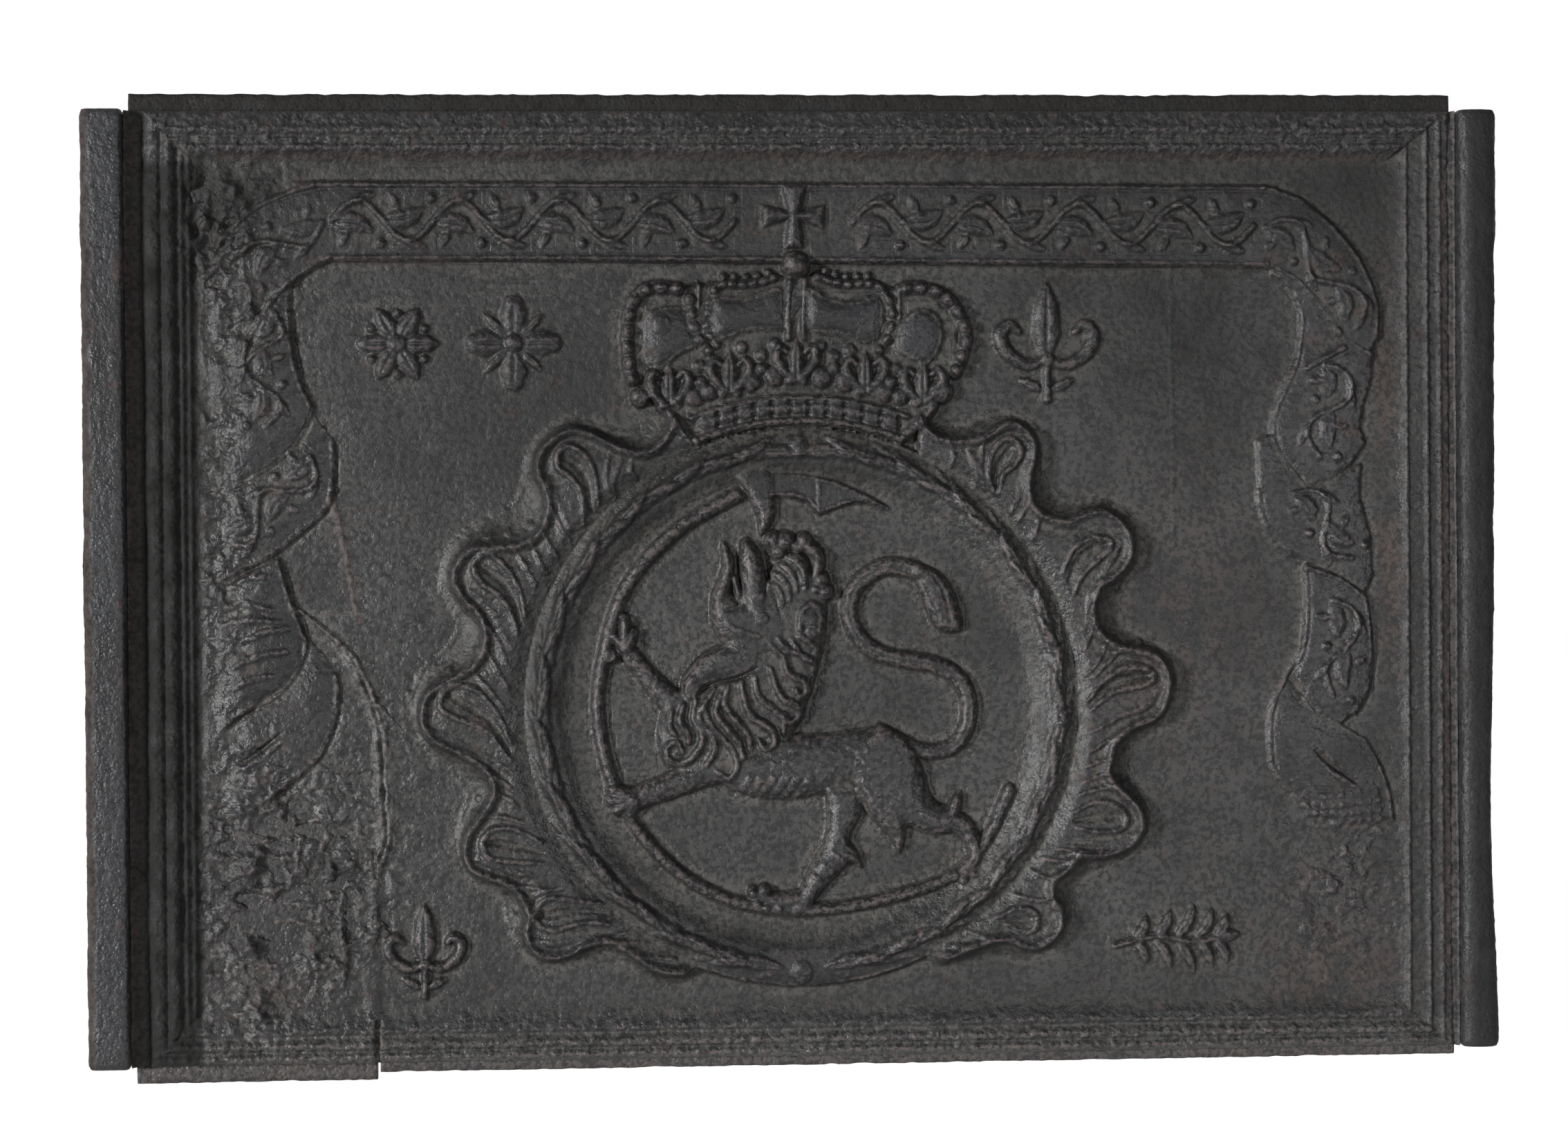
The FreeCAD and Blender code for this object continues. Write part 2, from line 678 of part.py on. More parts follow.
def crown(points):
    """Points above the band's lower edge, put on the plate."""
    across = size("crown_half_width") / DRAWN_CROWN_HALF
    upright = crown_height / DRAWN_CROWN_HEIGHT
    return [(x * across, crown_z + z * upright) for x, z in points]


def over_wreath(x, lift):
    """A point on the arc that runs round the wreath at the crown's foot, lifted off it."""
    radius = wreath_outer + size("crown_gap") + lift
    return (x, medallion_z + math.sqrt(radius ** 2 - x ** 2))


def crown_band_outline(sketch):
    rise = size("crown_band_height")
    half_foot = size("crown_half_width") * 0.57
    half_head = size("crown_half_width") * 0.61
    low = flat([over_wreath(x, 0) for x in (-half_foot, 0, half_foot)])
    high = flat([over_wreath(x, rise) for x in (half_head, 0, -half_head)])
    sketch.addGeometry(Part.Arc(*low), False)
    sketch.addGeometry(Part.Arc(*high), False)
    sketch.addGeometry(Part.LineSegment(low[2], high[0]), False)
    sketch.addGeometry(Part.LineSegment(high[2], low[0]), False)


crown_band = relief("band", FACE_Y, "Sizes.crown_band_relief", crown_band_outline)
FINIAL_X = -2.0
ORB_TO_CROSS = 0.4
CROSS_CLEARANCE = 4.0
orb_z = banner_low - size("banner_gap") / 2
orb = dome("orb", FACE_Y, size("orb_radius"), size("orb_relief"), FINIAL_X, orb_z)
orb_seat = button_seat("seat_orb", "Sizes.orb_radius", "Sizes.orb_relief", FINIAL_X, orb_z)

cross_z = orb_z + size("orb_radius") + size("cross_height") / 2 + ORB_TO_CROSS
half_span = size("cross_span") / 2
half_rise = size("cross_height") / 2
half_arm = size("cross_arm_width") / 2
flare = half_arm * 1.6
cross_outline = [
    (-half_span, -flare), (-half_arm, -half_arm), (-flare, -half_rise), (flare, -half_rise),
    (half_arm, -half_arm), (half_span, -flare), (half_span, flare), (half_arm, half_arm),
    (flare, half_rise), (-flare, half_rise), (-half_arm, half_arm), (-half_span, flare),
]
cross = sawn("cross", FACE_Y, "Sizes.cross_relief", [(FINIAL_X + x, cross_z + z) for x, z in cross_outline])

crown_cap = carved("cap", FACE_Y, "Sizes.crown_cap_relief", crown([
    (-62, 2), (-90, 11), (-112, 18), (-110, 32), (-118, 46), (-118, 70), (-109, 87), (-90, 97), (-70, 98),
    (-50, 100), (-20, 103), (16, 103), (48, 100), (66, 95), (88, 92), (106, 78), (113, 58), (106, 38),
    (101, 24), (100, 14), (84, 12), (62, 4), (0, 6),
]))
leaf_roots = [item for item in pieces if item.Label.endswith("lobe_1")]
crown_cap_fitted = without("cap", crown_cap, [crown_band, orb_seat] + leaf_roots)

ARCH_PATHS = [
    [(-102, 32), (-112, 50), (-112, 69), (-104, 84), (-88, 92), (-72, 90)],
    [(-46, 48), (-62, 62), (-68, 80), (-58, 94), (-38, 100), (-18, 101)],
    [(-3, 52), (-3, 74), (-3, 93)],
    [(44, 48), (56, 62), (60, 80), (52, 93), (34, 99), (14, 101)],
    [(96, 32), (105, 50), (104, 68), (94, 82), (80, 88), (70, 86)],
]
BERRY_PLACES = [
    (-72, 24), (-35, 30), (-18, 33), (15, 33), (32, 30), (70, 24), (90, 24), (-100, 22),
]
berries = []
for number, (x, z) in enumerate(crown(BERRY_PLACES)):
    berry = dome(f"berry_{number + 1}", CAP_Y, size("berry_radius"), size("berry_relief"), x, z)
    berries.append(without(f"berry_{number + 1}", berry, [crown_band]))
arches = []
for number, path in enumerate(ARCH_PATHS):
    widths = [size("crown_arch_width")] * len(path)
    arch = strip(f"arch_{number + 1}", CAP_Y, "Sizes.crown_arch_relief", crown(path), widths)
    arches.append(without(f"arch_{number + 1}", arch, berries))

piece(crown_band, "crown_band")
piece(crown_cap_fitted, "crown_cap")
piece(group("arch_group", arches), "crown_arches")
piece(group("berry_group", berries), "crown_berries")
piece(orb, "crown_orb")
piece(cross, "crown_cross")

# Banner: a ribbon across the top that turns down both sides in folds
# The folds are drawn for this width and fall and scaled with the sheet's
DRAWN_FOLD_WIDTH = 90.0
DRAWN_FALL = 404.0
fold_scale = size("banner_fold_width") / DRAWN_FOLD_WIDTH
fall_scale = size("banner_fall") / DRAWN_FALL


def banner_left(points):
    """Points to the right of the field's left edge, and above the middle of the top band."""
    return [(field_left + x * fold_scale, banner_z + z * fall_scale) for x, z in points]


def banner_right(points):
    """Points to the left of the field's right edge, and above the middle of the top band."""
    return [(field_right - x * fold_scale, banner_z + z * fall_scale) for x, z in points]


def band_end(corner, height):
    """A corner of the band, beside the folds and level with the band's edge."""
    return (corner[0][0], height)


banner_high = banner_z + size("banner_height") / 2
BAND_LEFT_END = [
    band_end(banner_left([(63, 0)]), banner_high),
    band_end(banner_left([(81, 0)]), banner_low),
]
BAND_RIGHT_END = [
    band_end(banner_right([(86, 0)]), banner_low),
    band_end(banner_right([(76, 0)]), banner_high),
]
band = sawn("ribbon_band", FACE_Y, "Sizes.banner_relief", BAND_LEFT_END + BAND_RIGHT_END)
piece(without("ribbon_band", band, [orb_seat, cross, crown_cap]), "banner_top_band")

BANNER_RUNS = [
    ("banner_left_turn", BAND_LEFT_END[::-1] + banner_left([
        (35, 12), (13, -14), (3, -50), (3, -88), (11, -108), (30, -100), (35, -80), (47, -54), (62, -38),
    ])),
    ("banner_left_fold", banner_left([
        (52, -48), (40, -78), (31, -98), (11, -110), (7, -150), (11, -190), (13, -232), (47, -214),
        (75, -194), (89, -170), (90, -138), (75, -126), (65, -96),
    ])),
    ("banner_left_tail", banner_left([
        (13, -236), (47, -218), (61, -240), (71, -268), (87, -290), (89, -315), (81, -342), (65, -364),
        (47, -384), (25, -404), (7, -402), (9, -350), (5, -290),
    ])),
    ("banner_right_turn", BAND_RIGHT_END + banner_right([
        (51, 12), (28, -12), (14, -42), (9, -86), (20, -88), (30, -78), (46, -52), (62, -38),
    ])),
    ("banner_right_fold", banner_right([
        (62, -42), (48, -54), (32, -80), (11, -90), (12, -140), (14, -190), (11, -222), (20, -252),
        (42, -238), (64, -226), (84, -206), (85, -172), (72, -150), (80, -136), (70, -96), (60, -66),
    ])),
    ("banner_right_tail", banner_right([
        (61, -232), (42, -242), (20, -256), (16, -300), (12, -350), (3, -404), (24, -404), (58, -386),
        (80, -370), (89, -346), (84, -312), (68, -288), (59, -262),
    ])),
]
laid = [band]
for label, points in BANNER_RUNS:
    run = sawn(label + "_run", FACE_Y, "Sizes.banner_relief", points)
    piece(without(label, run, laid), label)
    laid = laid + [run]


def lozenge(label, base_y, height, x, z, length, width):
    return sawn(label, base_y, height, [
        (x - length / 2, z), (x, z - width / 2), (x + length / 2, z), (x, z + width / 2),
    ])


# Running leaves along the banner, left out where the cross stands
leaves = []
leaf_length = size("banner_leaf_length")
run_start = BAND_LEFT_END[1][0] + leaf_length
run_end = BAND_RIGHT_END[0][0] - leaf_length / 2
cross_room = (size("cross_span") + leaf_length) / 2 + CROSS_CLEARANCE
for step in range(int((run_end - run_start) / size("banner_run_pitch")) + 1):
    x = run_start + step * size("banner_run_pitch")
    if abs(x - FINIAL_X) > cross_room:
        leaves.append(lozenge(
            f"banner_leaf_{step}", BANNER_Y, "Sizes.banner_leaf_relief", x, banner_z,
            leaf_length, size("banner_leaf_width"),
        ))
piece(group("banner_leaf_group", leaves), "banner_leaf_run")


# Ornaments on the open field: a rosette, a quatrefoil, two fleurons and a sprig

def petal_outline(centre, radius, petals, depth):
    """Rounded petals: the edge swings in and out between the petal tips."""
    points = []
    for step in range(petals * 4):
        angle = 2 * math.pi * step / (petals * 4)
        reach = radius * (1 - depth + depth * math.cos(petals * angle))
        points.append((centre[0] + reach * math.cos(angle), centre[1] + reach * math.sin(angle)))
    return points


def fleuron_outline(foot, height):
    """A three-lobed flower on a short stem, upright; shares of its height."""
    shape = [
        (0.06, 0.00), (0.07, 0.34), (0.30, 0.30), (0.44, 0.46), (0.40, 0.66), (0.26, 0.60), (0.18, 0.52),
        (0.20, 0.80), (0.00, 1.00),
    ]
    right = [(foot[0] + u * height, foot[1] + v * height) for u, v in shape]
    left = [(foot[0] - u * height, foot[1] + v * height) for u, v in reversed(shape[:-1])]
    return right + left


def sprig_outline(centre, length):
    """A lying twig with leaves in pairs, wide at the middle; shares of its length."""
    shape = [
        (-0.50, 0.00), (-0.34, 0.16), (-0.20, 0.10), (-0.06, 0.30), (0.08, 0.14), (0.24, 0.28), (0.36, 0.10),
        (0.50, 0.00),
    ]
    upper = [(centre[0] + u * length, centre[1] + v * length) for u, v in shape]
    lower = [(centre[0] + u * length, centre[1] - v * length) for u, v in reversed(shape[1:-1])]
    return upper + lower


# The upper ornaments stand midway between the leaves and the banner, in the room beside the crown
# with these shares of the spare width left of the rosette, between the two, and left of the fleuron
SPARE_BEFORE_ROSETTE = 0.2
SPARE_BETWEEN = 0.25
FLEURON_SHARE = 0.25
left_room_start = field_left + size("banner_fold_width")
leaf_top = about_medallion(LEFT_LOBES[0][0], wreath_outer + size("leaf_reach"))[1] + size("leaf_tip_radius")
upper_middle = (leaf_top + banner_low) / 2
spare = -size("crown_half_width") - left_room_start - 2 * (size("rosette_radius") + size("quatrefoil_radius"))
rosette_x = left_room_start + spare * SPARE_BEFORE_ROSETTE + size("rosette_radius")
quatrefoil_x = rosette_x + size("rosette_radius") + spare * SPARE_BETWEEN + size("quatrefoil_radius")
right_room_end = field_right - size("banner_fold_width")
fleuron_x = size("crown_half_width") + (right_room_end - size("crown_half_width")) * FLEURON_SHARE

rosette_centre = (rosette_x, upper_middle)
quatrefoil_centre = (quatrefoil_x, upper_middle)
fleuron_foot = (fleuron_x, upper_middle - size("fleuron_height") / 2)
# The lower ones stand outside the leaves, on the bottom moulding's edge
leaf_edge = wreath_outer + size("leaf_reach") + size("leaf_tip_radius")
small_fleuron_foot = (-leaf_edge, field_bottom + size("lower_ornament_gap"))
sprig_centre = (leaf_edge, field_bottom + size("lower_ornament_gap") + size("sprig_length") * 0.36)

ORNAMENT_LIST = [
    ("upper_left_rosette", petal_outline(rosette_centre, size("rosette_radius"), 6, 0.14)),
    ("upper_left_quatrefoil", petal_outline(quatrefoil_centre, size("quatrefoil_radius"), 4, 0.2)),
    ("upper_right_fleuron", fleuron_outline(fleuron_foot, size("fleuron_height"))),
    ("lower_left_fleuron", fleuron_outline(small_fleuron_foot, size("small_fleuron_height"))),
    ("lower_right_sprig", sprig_outline(sprig_centre, size("sprig_length"))),
]
# Where room is short they run under the banner and the leaves
for label, outline in ORNAMENT_LIST:
    carving = carved(label + "_carving", FACE_Y, "Sizes.field_ornament_relief", outline)
    piece(without(label, carving, [band] + leaf_roots), label)

# Build everything, refuse a failed feature, and write one file for each piece

doc.recompute()
for item in doc.Objects:
    if "Invalid" in item.State or "Error" in item.State:
        raise RuntimeError(f"{item.Label} failed: {item.State}")
for item in pieces:
    if item.Shape.isNull() or not item.Shape.isValid() or not item.Shape.Solids:
        raise RuntimeError(f"{item.Label} has no valid solid")

os.makedirs("parts", exist_ok=True)
for item in pieces:
    item.Shape.exportStep(os.path.join("parts", item.Label + ".step"))
    print(f"{item.Label}: {len(item.Shape.Solids)} solid(s), {item.Shape.Volume / 1000:.1f} cm3")
print(len(pieces), "pieces")
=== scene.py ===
# %% [markdown]
# A cast-iron stove plate, dressed for a render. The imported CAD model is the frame: its places are
# fixed, and every piece made here stands for one of its nodes. All sizes below are written in
# millimetres, as on a drawing, and turned into metres when a mesh is made.

# %% Load the frame
import math
import bmesh
import bpy
import numpy as np
from mathutils import Matrix, Vector, noise


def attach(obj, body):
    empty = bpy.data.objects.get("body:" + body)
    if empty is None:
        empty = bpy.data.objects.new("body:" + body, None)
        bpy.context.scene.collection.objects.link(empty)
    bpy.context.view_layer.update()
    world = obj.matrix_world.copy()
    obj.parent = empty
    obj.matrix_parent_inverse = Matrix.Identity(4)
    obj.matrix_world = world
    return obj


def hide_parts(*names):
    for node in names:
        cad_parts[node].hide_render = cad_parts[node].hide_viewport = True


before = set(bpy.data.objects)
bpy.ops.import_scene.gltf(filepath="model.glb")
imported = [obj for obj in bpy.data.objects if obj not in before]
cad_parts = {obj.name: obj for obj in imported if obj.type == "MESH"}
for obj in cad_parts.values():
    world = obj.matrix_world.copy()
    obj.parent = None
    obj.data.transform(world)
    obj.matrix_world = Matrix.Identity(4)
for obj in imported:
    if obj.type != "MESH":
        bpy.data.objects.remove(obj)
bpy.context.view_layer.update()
MM = 0.001
print("nodes in the frame:", len(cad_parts))

# %% [markdown]
# The camera stands almost square to the plate, a little left of its middle. A 60 mm lens at 1.73 m
# gives the gentle perspective of a catalogue picture. Yaw, pitch and roll are small turns, so the three
# axes of the camera are worked out and put in its matrix.

# %% Camera
lens = bpy.data.cameras.new("plate_camera")
lens.lens = 60
lens.sensor_width = 36
camera = bpy.data.objects.new("plate_camera", lens)
bpy.context.collection.objects.link(camera)
CAMERA_TURNS = (-2.828, -0.426, -0.443)
CAMERA_PLACE = (-96.4, -1734.3, 347.5)
yaw, pitch, roll = (math.radians(angle) for angle in CAMERA_TURNS)
aim = Vector((-math.sin(yaw) * math.cos(pitch), math.cos(yaw) * math.cos(pitch), math.sin(pitch)))
level = Vector((math.cos(yaw), math.sin(yaw), 0))
upright = level.cross(aim)
right = level * math.cos(roll) + upright * math.sin(roll)
top = upright * math.cos(roll) - level * math.sin(roll)
turn = Matrix((right, top, -aim)).transposed().to_4x4()
camera.matrix_world = Matrix.Translation(Vector(CAMERA_PLACE) * MM) @ turn
bpy.context.scene.camera = camera
print("camera at", [round(value, 3) for value in camera.location])

# %% [markdown]
# The face of a casting is one skin of low relief, so it is sculpted as a field of heights over a fine
# lattice. Separate swept or boolean solids would leave hard seams where a carver lets one form grow out
# of the next. Heights are measured from the plate's flat face towards the viewer, and each stroke notes
# whose piece it belongs to.

# %% Lattice of heights
BOARD = (-441.0, 12.0, 441.0, 639.0)
BOARD_WIDE, BOARD_TALL = BOARD[2] - BOARD[0], BOARD[3] - BOARD[1]
CELLS_X, CELLS_Z, FINE = 330, 235, 3
FACE_Y = -1.0
xs = np.linspace(BOARD[0], BOARD[2], CELLS_X * FINE + 1)
zs = np.linspace(BOARD[1], BOARD[3], CELLS_Z * FINE + 1)
mesh_x, mesh_z = np.meshgrid(xs, zs)
height = np.zeros(mesh_x.shape)
pitting = np.zeros(mesh_x.shape)
names = ["field_panel"]
owner = np.zeros(mesh_x.shape, dtype=np.int16)
ALL = slice(None)
print("lattice points:", height.size, "pitch:", round(BOARD_WIDE / (CELLS_X * FINE), 2), "mm")

# %% [markdown]
# A carver makes few kinds of mark: a raised pad, a ridge, a groove, a round button and a leaf, all
# along smooth lines. Blender's sculpt brushes could do this by hand, but strokes in code can be drawn
# again the same way. Each helper works only on the patch of the lattice that its stroke can reach, so
# hundreds of strokes stay quick.

# %% Strokes: smooth lines, and the distance to them
def flow(points, closed=False, steps=4):
    """A smooth line through given points."""
    knots = [Vector(point) for point in points]
    count = len(knots)
    line = []
    for i in range(count if closed else count - 1):
        a = knots[i - 1] if closed or i > 0 else knots[0]
        b = knots[i]
        c = knots[(i + 1) % count]
        d = knots[(i + 2) % count] if closed or i + 2 < count else knots[-1]
        for step in range(steps):
            t = step / steps
            bend = (c - a) * t + (2 * a - 5 * b + 4 * c - d) * t * t + (3 * b - a - 3 * c + d) * t ** 3
            line.append(b + bend * 0.5)
    line.append(knots[0] if closed else knots[-1])
    return np.array(line)


def arc(centre, radius, start, end, count):
    """Points on a circle, angles in degrees."""
    turns = np.radians(np.linspace(start, end, count))
    return [(centre[0] + radius * math.cos(t), centre[1] + radius * math.sin(t)) for t in turns]


def around(centre, angle, gap):
    """The point at that angle in degrees and that far from a centre."""
    turned_by = math.radians(angle)
    return centre[0] + gap * math.cos(turned_by), centre[1] + gap * math.sin(turned_by)


def reach(line, margin):
    """The part of the lattice that a stroke can touch."""
    low = line.min(axis=0) - margin
    high = line.max(axis=0) + margin
    rows = slice(*np.searchsorted(zs, [low[1], high[1]]))
    cols = slice(*np.searchsorted(xs, [low[0], high[0]]))
    return rows, cols


def distance(line, gx, gz):
    """How far each point lies from a line, and how far along it the nearest place is."""
    nearest = np.full(gx.shape, 1e6)
    along = np.zeros(gx.shape)
    for k in range(len(line) - 1):
        ax, az = line[k]
        dx, dz = line[k + 1] - line[k]
        t = ((gx - ax) * dx + (gz - az) * dz) / max(dx * dx + dz * dz, 1e-9)
        t = np.clip(t, 0, 1)
        gap = np.hypot(gx - ax - t * dx, gz - az - t * dz)
        closer = gap < nearest
        nearest[closer] = gap[closer]
        along[closer] = ((k + t) / (len(line) - 1))[closer]
    return nearest, along


def inside(line, gx, gz):
    """Which points a closed line surrounds."""
    within = np.zeros(gx.shape, dtype=bool)
    for (ax, az), (bx, bz) in zip(line[:-1], line[1:]):
        if az == bz:
            continue
        crossing = ((az > gz) != (bz > gz)) & (gx < (bx - ax) * (gz - az) / (bz - az) + ax)
        within ^= crossing
    return within


def mark(piece, rows, cols, where):
    """Notes that these lattice points belong to a piece."""
    if piece is None:
        return
    if piece not in names:
        names.append(piece)
    owner[rows, cols][where] = names.index(piece)


print("points on a smooth line through three:", len(flow([(0, 0), (10, 4), (20, 0)])))


# %% Strokes: pads, ridges, grooves and buttons
def pad(piece, outline, level, rim, closed_line=None):
    """Lifts what an outline surrounds to a level, rounded over a rim."""
    line = flow(outline, closed=True) if closed_line is None else closed_line
    rows, cols = reach(line, 2)
    gx, gz = mesh_x[rows, cols], mesh_z[rows, cols]
    gap, _ = distance(line, gx, gz)
    within = inside(line, gx, gz)
    t = np.clip(np.where(within, gap, 0) / rim, 0, 1)
    now = height[rows, cols]
    lift = np.maximum(level - now, 0) * np.sqrt(1 - (1 - t) ** 2)
    height[rows, cols] = now + lift
    mark(piece, rows, cols, within)


def ridge(piece, points, width, rise, on=None, power=0.7, straight=False):
    """A rounded ridge along a line. Its width may change on the way; on gives the level it stands on."""
    line = np.array(points, float) if straight else flow(points)
    widths = np.atleast_1d(np.array(width, float))
    rows, cols = reach(line, widths.max() / 2 + 1)
    gx, gz = mesh_x[rows, cols], mesh_z[rows, cols]
    gap, along = distance(line, gx, gz)
    half = np.interp(along, np.linspace(0, 1, len(widths)), widths) / 2
    bulge = np.clip(1 - (gap / np.maximum(half, 0.2)) ** 2, 0, 1) ** power
    lift = rise * bulge * np.clip(half * 2 / widths.max(), 0.25, 1) ** 0.5
    now = height[rows, cols]
    new = now + lift if on is None else np.maximum(now, on + lift)
    shown = (bulge > 0) & (np.abs(new - now) > 0.02)
    height[rows, cols] = np.where(shown, new, now)
    mark(piece, rows, cols, shown)


def groove(points, width, depth, straight=False):
    """A rounded channel along a line."""
    ridge(None, points, width, -depth, power=1.0, straight=straight)


def button(piece, x, z, radius, rise, on=None):
    """A round button."""
    line = np.array([(x, z)])
    rows, cols = reach(line, radius)
    gap = np.hypot(mesh_x[rows, cols] - x, mesh_z[rows, cols] - z)
    bulge = np.sqrt(np.clip(1 - (gap / radius) ** 2, 0, 1))
    now = height[rows, cols]
    new = now + rise * bulge if on is None else np.maximum(now, on + rise * bulge)
    shown = (bulge > 0) & (np.abs(new - now) > 0.02)
    height[rows, cols] = np.where(shown, new, now)
    mark(piece, rows, cols, shown)


def pearls(piece, points, pitch, radius, rise, on=None):
    """A row of buttons along a line."""
    line = flow(points)
    steps = np.hypot(*np.diff(line, axis=0).T)
    run = np.concatenate([[0], np.cumsum(steps)])
    count = max(int(run[-1] / pitch), 1)
    for place in np.linspace(0, run[-1], count + 1):
        x, z = np.interp(place, run, line[:, 0]), np.interp(place, run, line[:, 1])
        button(piece, x, z, radius, rise, on)


def leaf(piece, foot, tip, width, rise, bow=0.0, on=None):
    """A pointed leaf with a sunk midrib; bow bends it sideways."""
    a, b = Vector(foot), Vector(tip)
    side = Vector((a.y - b.y, b.x - a.x)).normalized() * bow
    middle = (a + b) / 2 + side
    ridge(piece, [a, middle, b], [width * 0.3, width, width * 0.85, 1.0], rise, on)
    groove([a, middle, b], [width * 0.16, width * 0.2, 0.6], rise * 0.4)


def tallest(piece):
    """How far a piece stands above the field, in millimetres."""
    return round(float(height[owner == names.index(piece)].max()), 1)


print("strokes:", [stroke.__name__ for stroke in (pad, ridge, groove, button, pearls, leaf)])

# %% [markdown]
# Sand and rust are uneven, yet a render has to come out the same each time. So the swellings are drawn
# from seeded random numbers on a coarse net and smoothed between its knots.

# %% Lumps that are the same on every run
def lumps(pitch, seed):
    """Soft random swellings of that pitch, from -1 to 1."""
    source = np.random.default_rng(seed)
    knots = source.uniform(-1, 1, (int(BOARD_TALL / pitch) + 4, int(BOARD_WIDE / pitch) + 4))
    u = (xs - BOARD[0]) / pitch
    v = (zs - BOARD[1]) / pitch
    iu, iv = u.astype(int), v.astype(int)
    fu, fv = u - iu, (v - iv)[:, None]
    fu, fv = fu * fu * (3 - 2 * fu), fv * fv * (3 - 2 * fv)
    near = knots[np.ix_(iv, iu)] * (1 - fu) + knots[np.ix_(iv, iu + 1)] * fu
    far = knots[np.ix_(iv + 1, iu)] * (1 - fu) + knots[np.ix_(iv + 1, iu + 1)] * fu
    return near * (1 - fv) + far * fv


def blur(values, passes, half):
    """A soft average over neighbours."""
    size = 2 * half + 1
    for _ in range(passes):
        for axis in (0, 1):
            wide = np.pad(values, [(half + 1, half) if k == axis else (0, 0) for k in (0, 1)], mode="edge")
            total = np.cumsum(wide, axis=axis)
            ahead = np.take(total, range(size, total.shape[axis]), axis=axis)
            behind = np.take(total, range(total.shape[axis] - size), axis=axis)
            values = (ahead - behind) / size
    return values


def spot(x, z, wide, tall):
    """A soft oval patch, 1 in its middle."""
    return np.exp(-((mesh_x - x) / wide) ** 2 - ((mesh_z - z) / tall) ** 2)


def patches(table):
    """Soft patches added up, each given by its middle, half width, half height and strength."""
    return sum(strength * spot(x, z, wide, tall) for x, z, wide, tall, strength in table)


print("a soft patch falls to", round(math.exp(-1), 2), "at its half width")

# %% [markdown]
# The flat ground comes first. It was cast in open sand and has rusted since, so it is nowhere truly
# flat. Slow swellings give the sheen its patches. Three corners and the left margin are eaten away and
# crumbly. There lumps of several sizes lie over one another, and the finest come and go in patches.

# %% Ground and corrosion
EATEN = [
    (-352, 105, 60, 70, 1.0), (-330, 150, 45, 60, 0.8), (-376, 572, 34, 48, 0.9),
    (358, 120, 42, 60, 0.7), (-378, 320, 18, 110, 0.4), (-380, 470, 16, 70, 0.5),
    (-340, 520, 22, 26, 0.45), (-270, 240, 60, 120, 0.2)]
corroded = np.clip(patches(EATEN), 0, 1)
corroded = np.clip(corroded * (1 + 0.6 * lumps(26, 3)), 0, 1)
height += 0.8 * lumps(90, 1) + 0.5 * lumps(34, 2) + 0.22 * lumps(11, 24)
crumbly = np.clip(0.5 + 0.9 * lumps(32, 50), 0.15, 1)
scabs = 1.9 * lumps(19, 4) + 3.0 * (0.5 - np.abs(lumps(11, 5))) + 1.6 * lumps(6.5, 6)
scabs += crumbly * (1.7 * lumps(3.8, 26) + 0.9 * lumps(2.1, 48))
height += corroded * np.clip(scabs, -4.0, 4.5)
pitting = np.maximum(pitting, corroded)
pale_and_lit = 0.35 * corroded * np.clip(lumps(9, 43), 0, 1)
RUST_BLOOMS = [
    (394, 470, 9, 80, 0.7), (396, 330, 10, 60, 0.6), (350, 62, 70, 26, 0.5), (352, 120, 30, 50, 0.5),
    (-352, 66, 26, 18, 0.6), (-338, 112, 16, 14, 0.5), (-303, 366, 12, 9, 0.5),
    (250, 300, 60, 110, 0.4)]
rusty = np.clip(patches(RUST_BLOOMS), 0, 1)
rusty = rusty * np.clip(0.6 + 0.9 * lumps(12, 44) + 0.5 * lumps(5, 45), 0, 1)
print("corroded share of the face:", round(float((corroded > 0.3).mean()), 3))

# %% [markdown]
# A crack runs up from the lower edge. Iron was drawn into it and stands as a frayed thread of several
# strands. All strands follow one line, each with a small shift of its own, and a fine slit runs between
# them.

# %% Crack, drip and pits
def tinge(values, points, width, amount):
    """Marks a stripe of the skin for the finish."""
    line = flow(points)
    rows, cols = reach(line, width)
    gap, _ = distance(line, mesh_x[rows, cols], mesh_z[rows, cols])
    values[rows, cols] = np.maximum(values[rows, cols], amount * np.clip(1.5 - gap * 2 / width, 0, 1))


CRACK = [
    (-344, 326), (-334, 314), (-316, 300), (-298, 282), (-288, 262), (-280, 240), (-277, 219),
    (-276, 191), (-274, 161), (-280, 143), (-284, 115), (-285, 85), (-284, 50), (-281, 14)]
wander = np.random.default_rng(17)
ridge(None, CRACK[8:], [6, 13, 14, 12], 1.6, power=1.0)
STRANDS = [
    (-2.4, 0.9, [2, 3.4, 4.2, 4.2, 3.8, 2], 2.3), (2.0, 0.9, [1.5, 3, 3.8, 3.8, 3.4, 2], 2.0),
    (-5.0, 1.6, [1.2, 2, 2.4, 2.2, 2, 1.2], 1.2), (4.4, 1.4, [1.2, 1.8, 2.2, 2.4, 2, 1], 1.0)]
for shift, stray, widths, rise in STRANDS:
    thread = flow(CRACK[1:10], steps=3)
    strand = [(x + shift + wander.uniform(-stray, stray), z - 0.6 * shift) for x, z in thread]
    ridge(None, strand, widths, rise)
for x, z in flow(CRACK[:11])[::2]:
    bead = (x + wander.uniform(-4, 4), z + wander.uniform(-2, 2))
    button(None, *bead, wander.uniform(1.4, 2.8), wander.uniform(0.3, 1.2))
groove(CRACK[1:10], [1.0, 1.6, 1.8, 1.2], 1.2)
groove([(-283, 152), (-282, 134)], 2.4, 3.0)
groove([(-276, 107), (-272, 97)], 2.4, 3.0)
tinge(pale_and_lit, CRACK[1:9], 9, 0.85)
DRIP = [(-309, 384), (-304, 368), (-300, 350), (-296, 326), (-292, 304)]
ridge(None, DRIP, [7, 4, 3, 2], 1.2)
tinge(rusty, DRIP, 6, 0.6)
RUNS_OF_RUST = [(-304, 62, 100), (-322, 58, 84), (-312, 120, 150), (-334, 140, 176)]
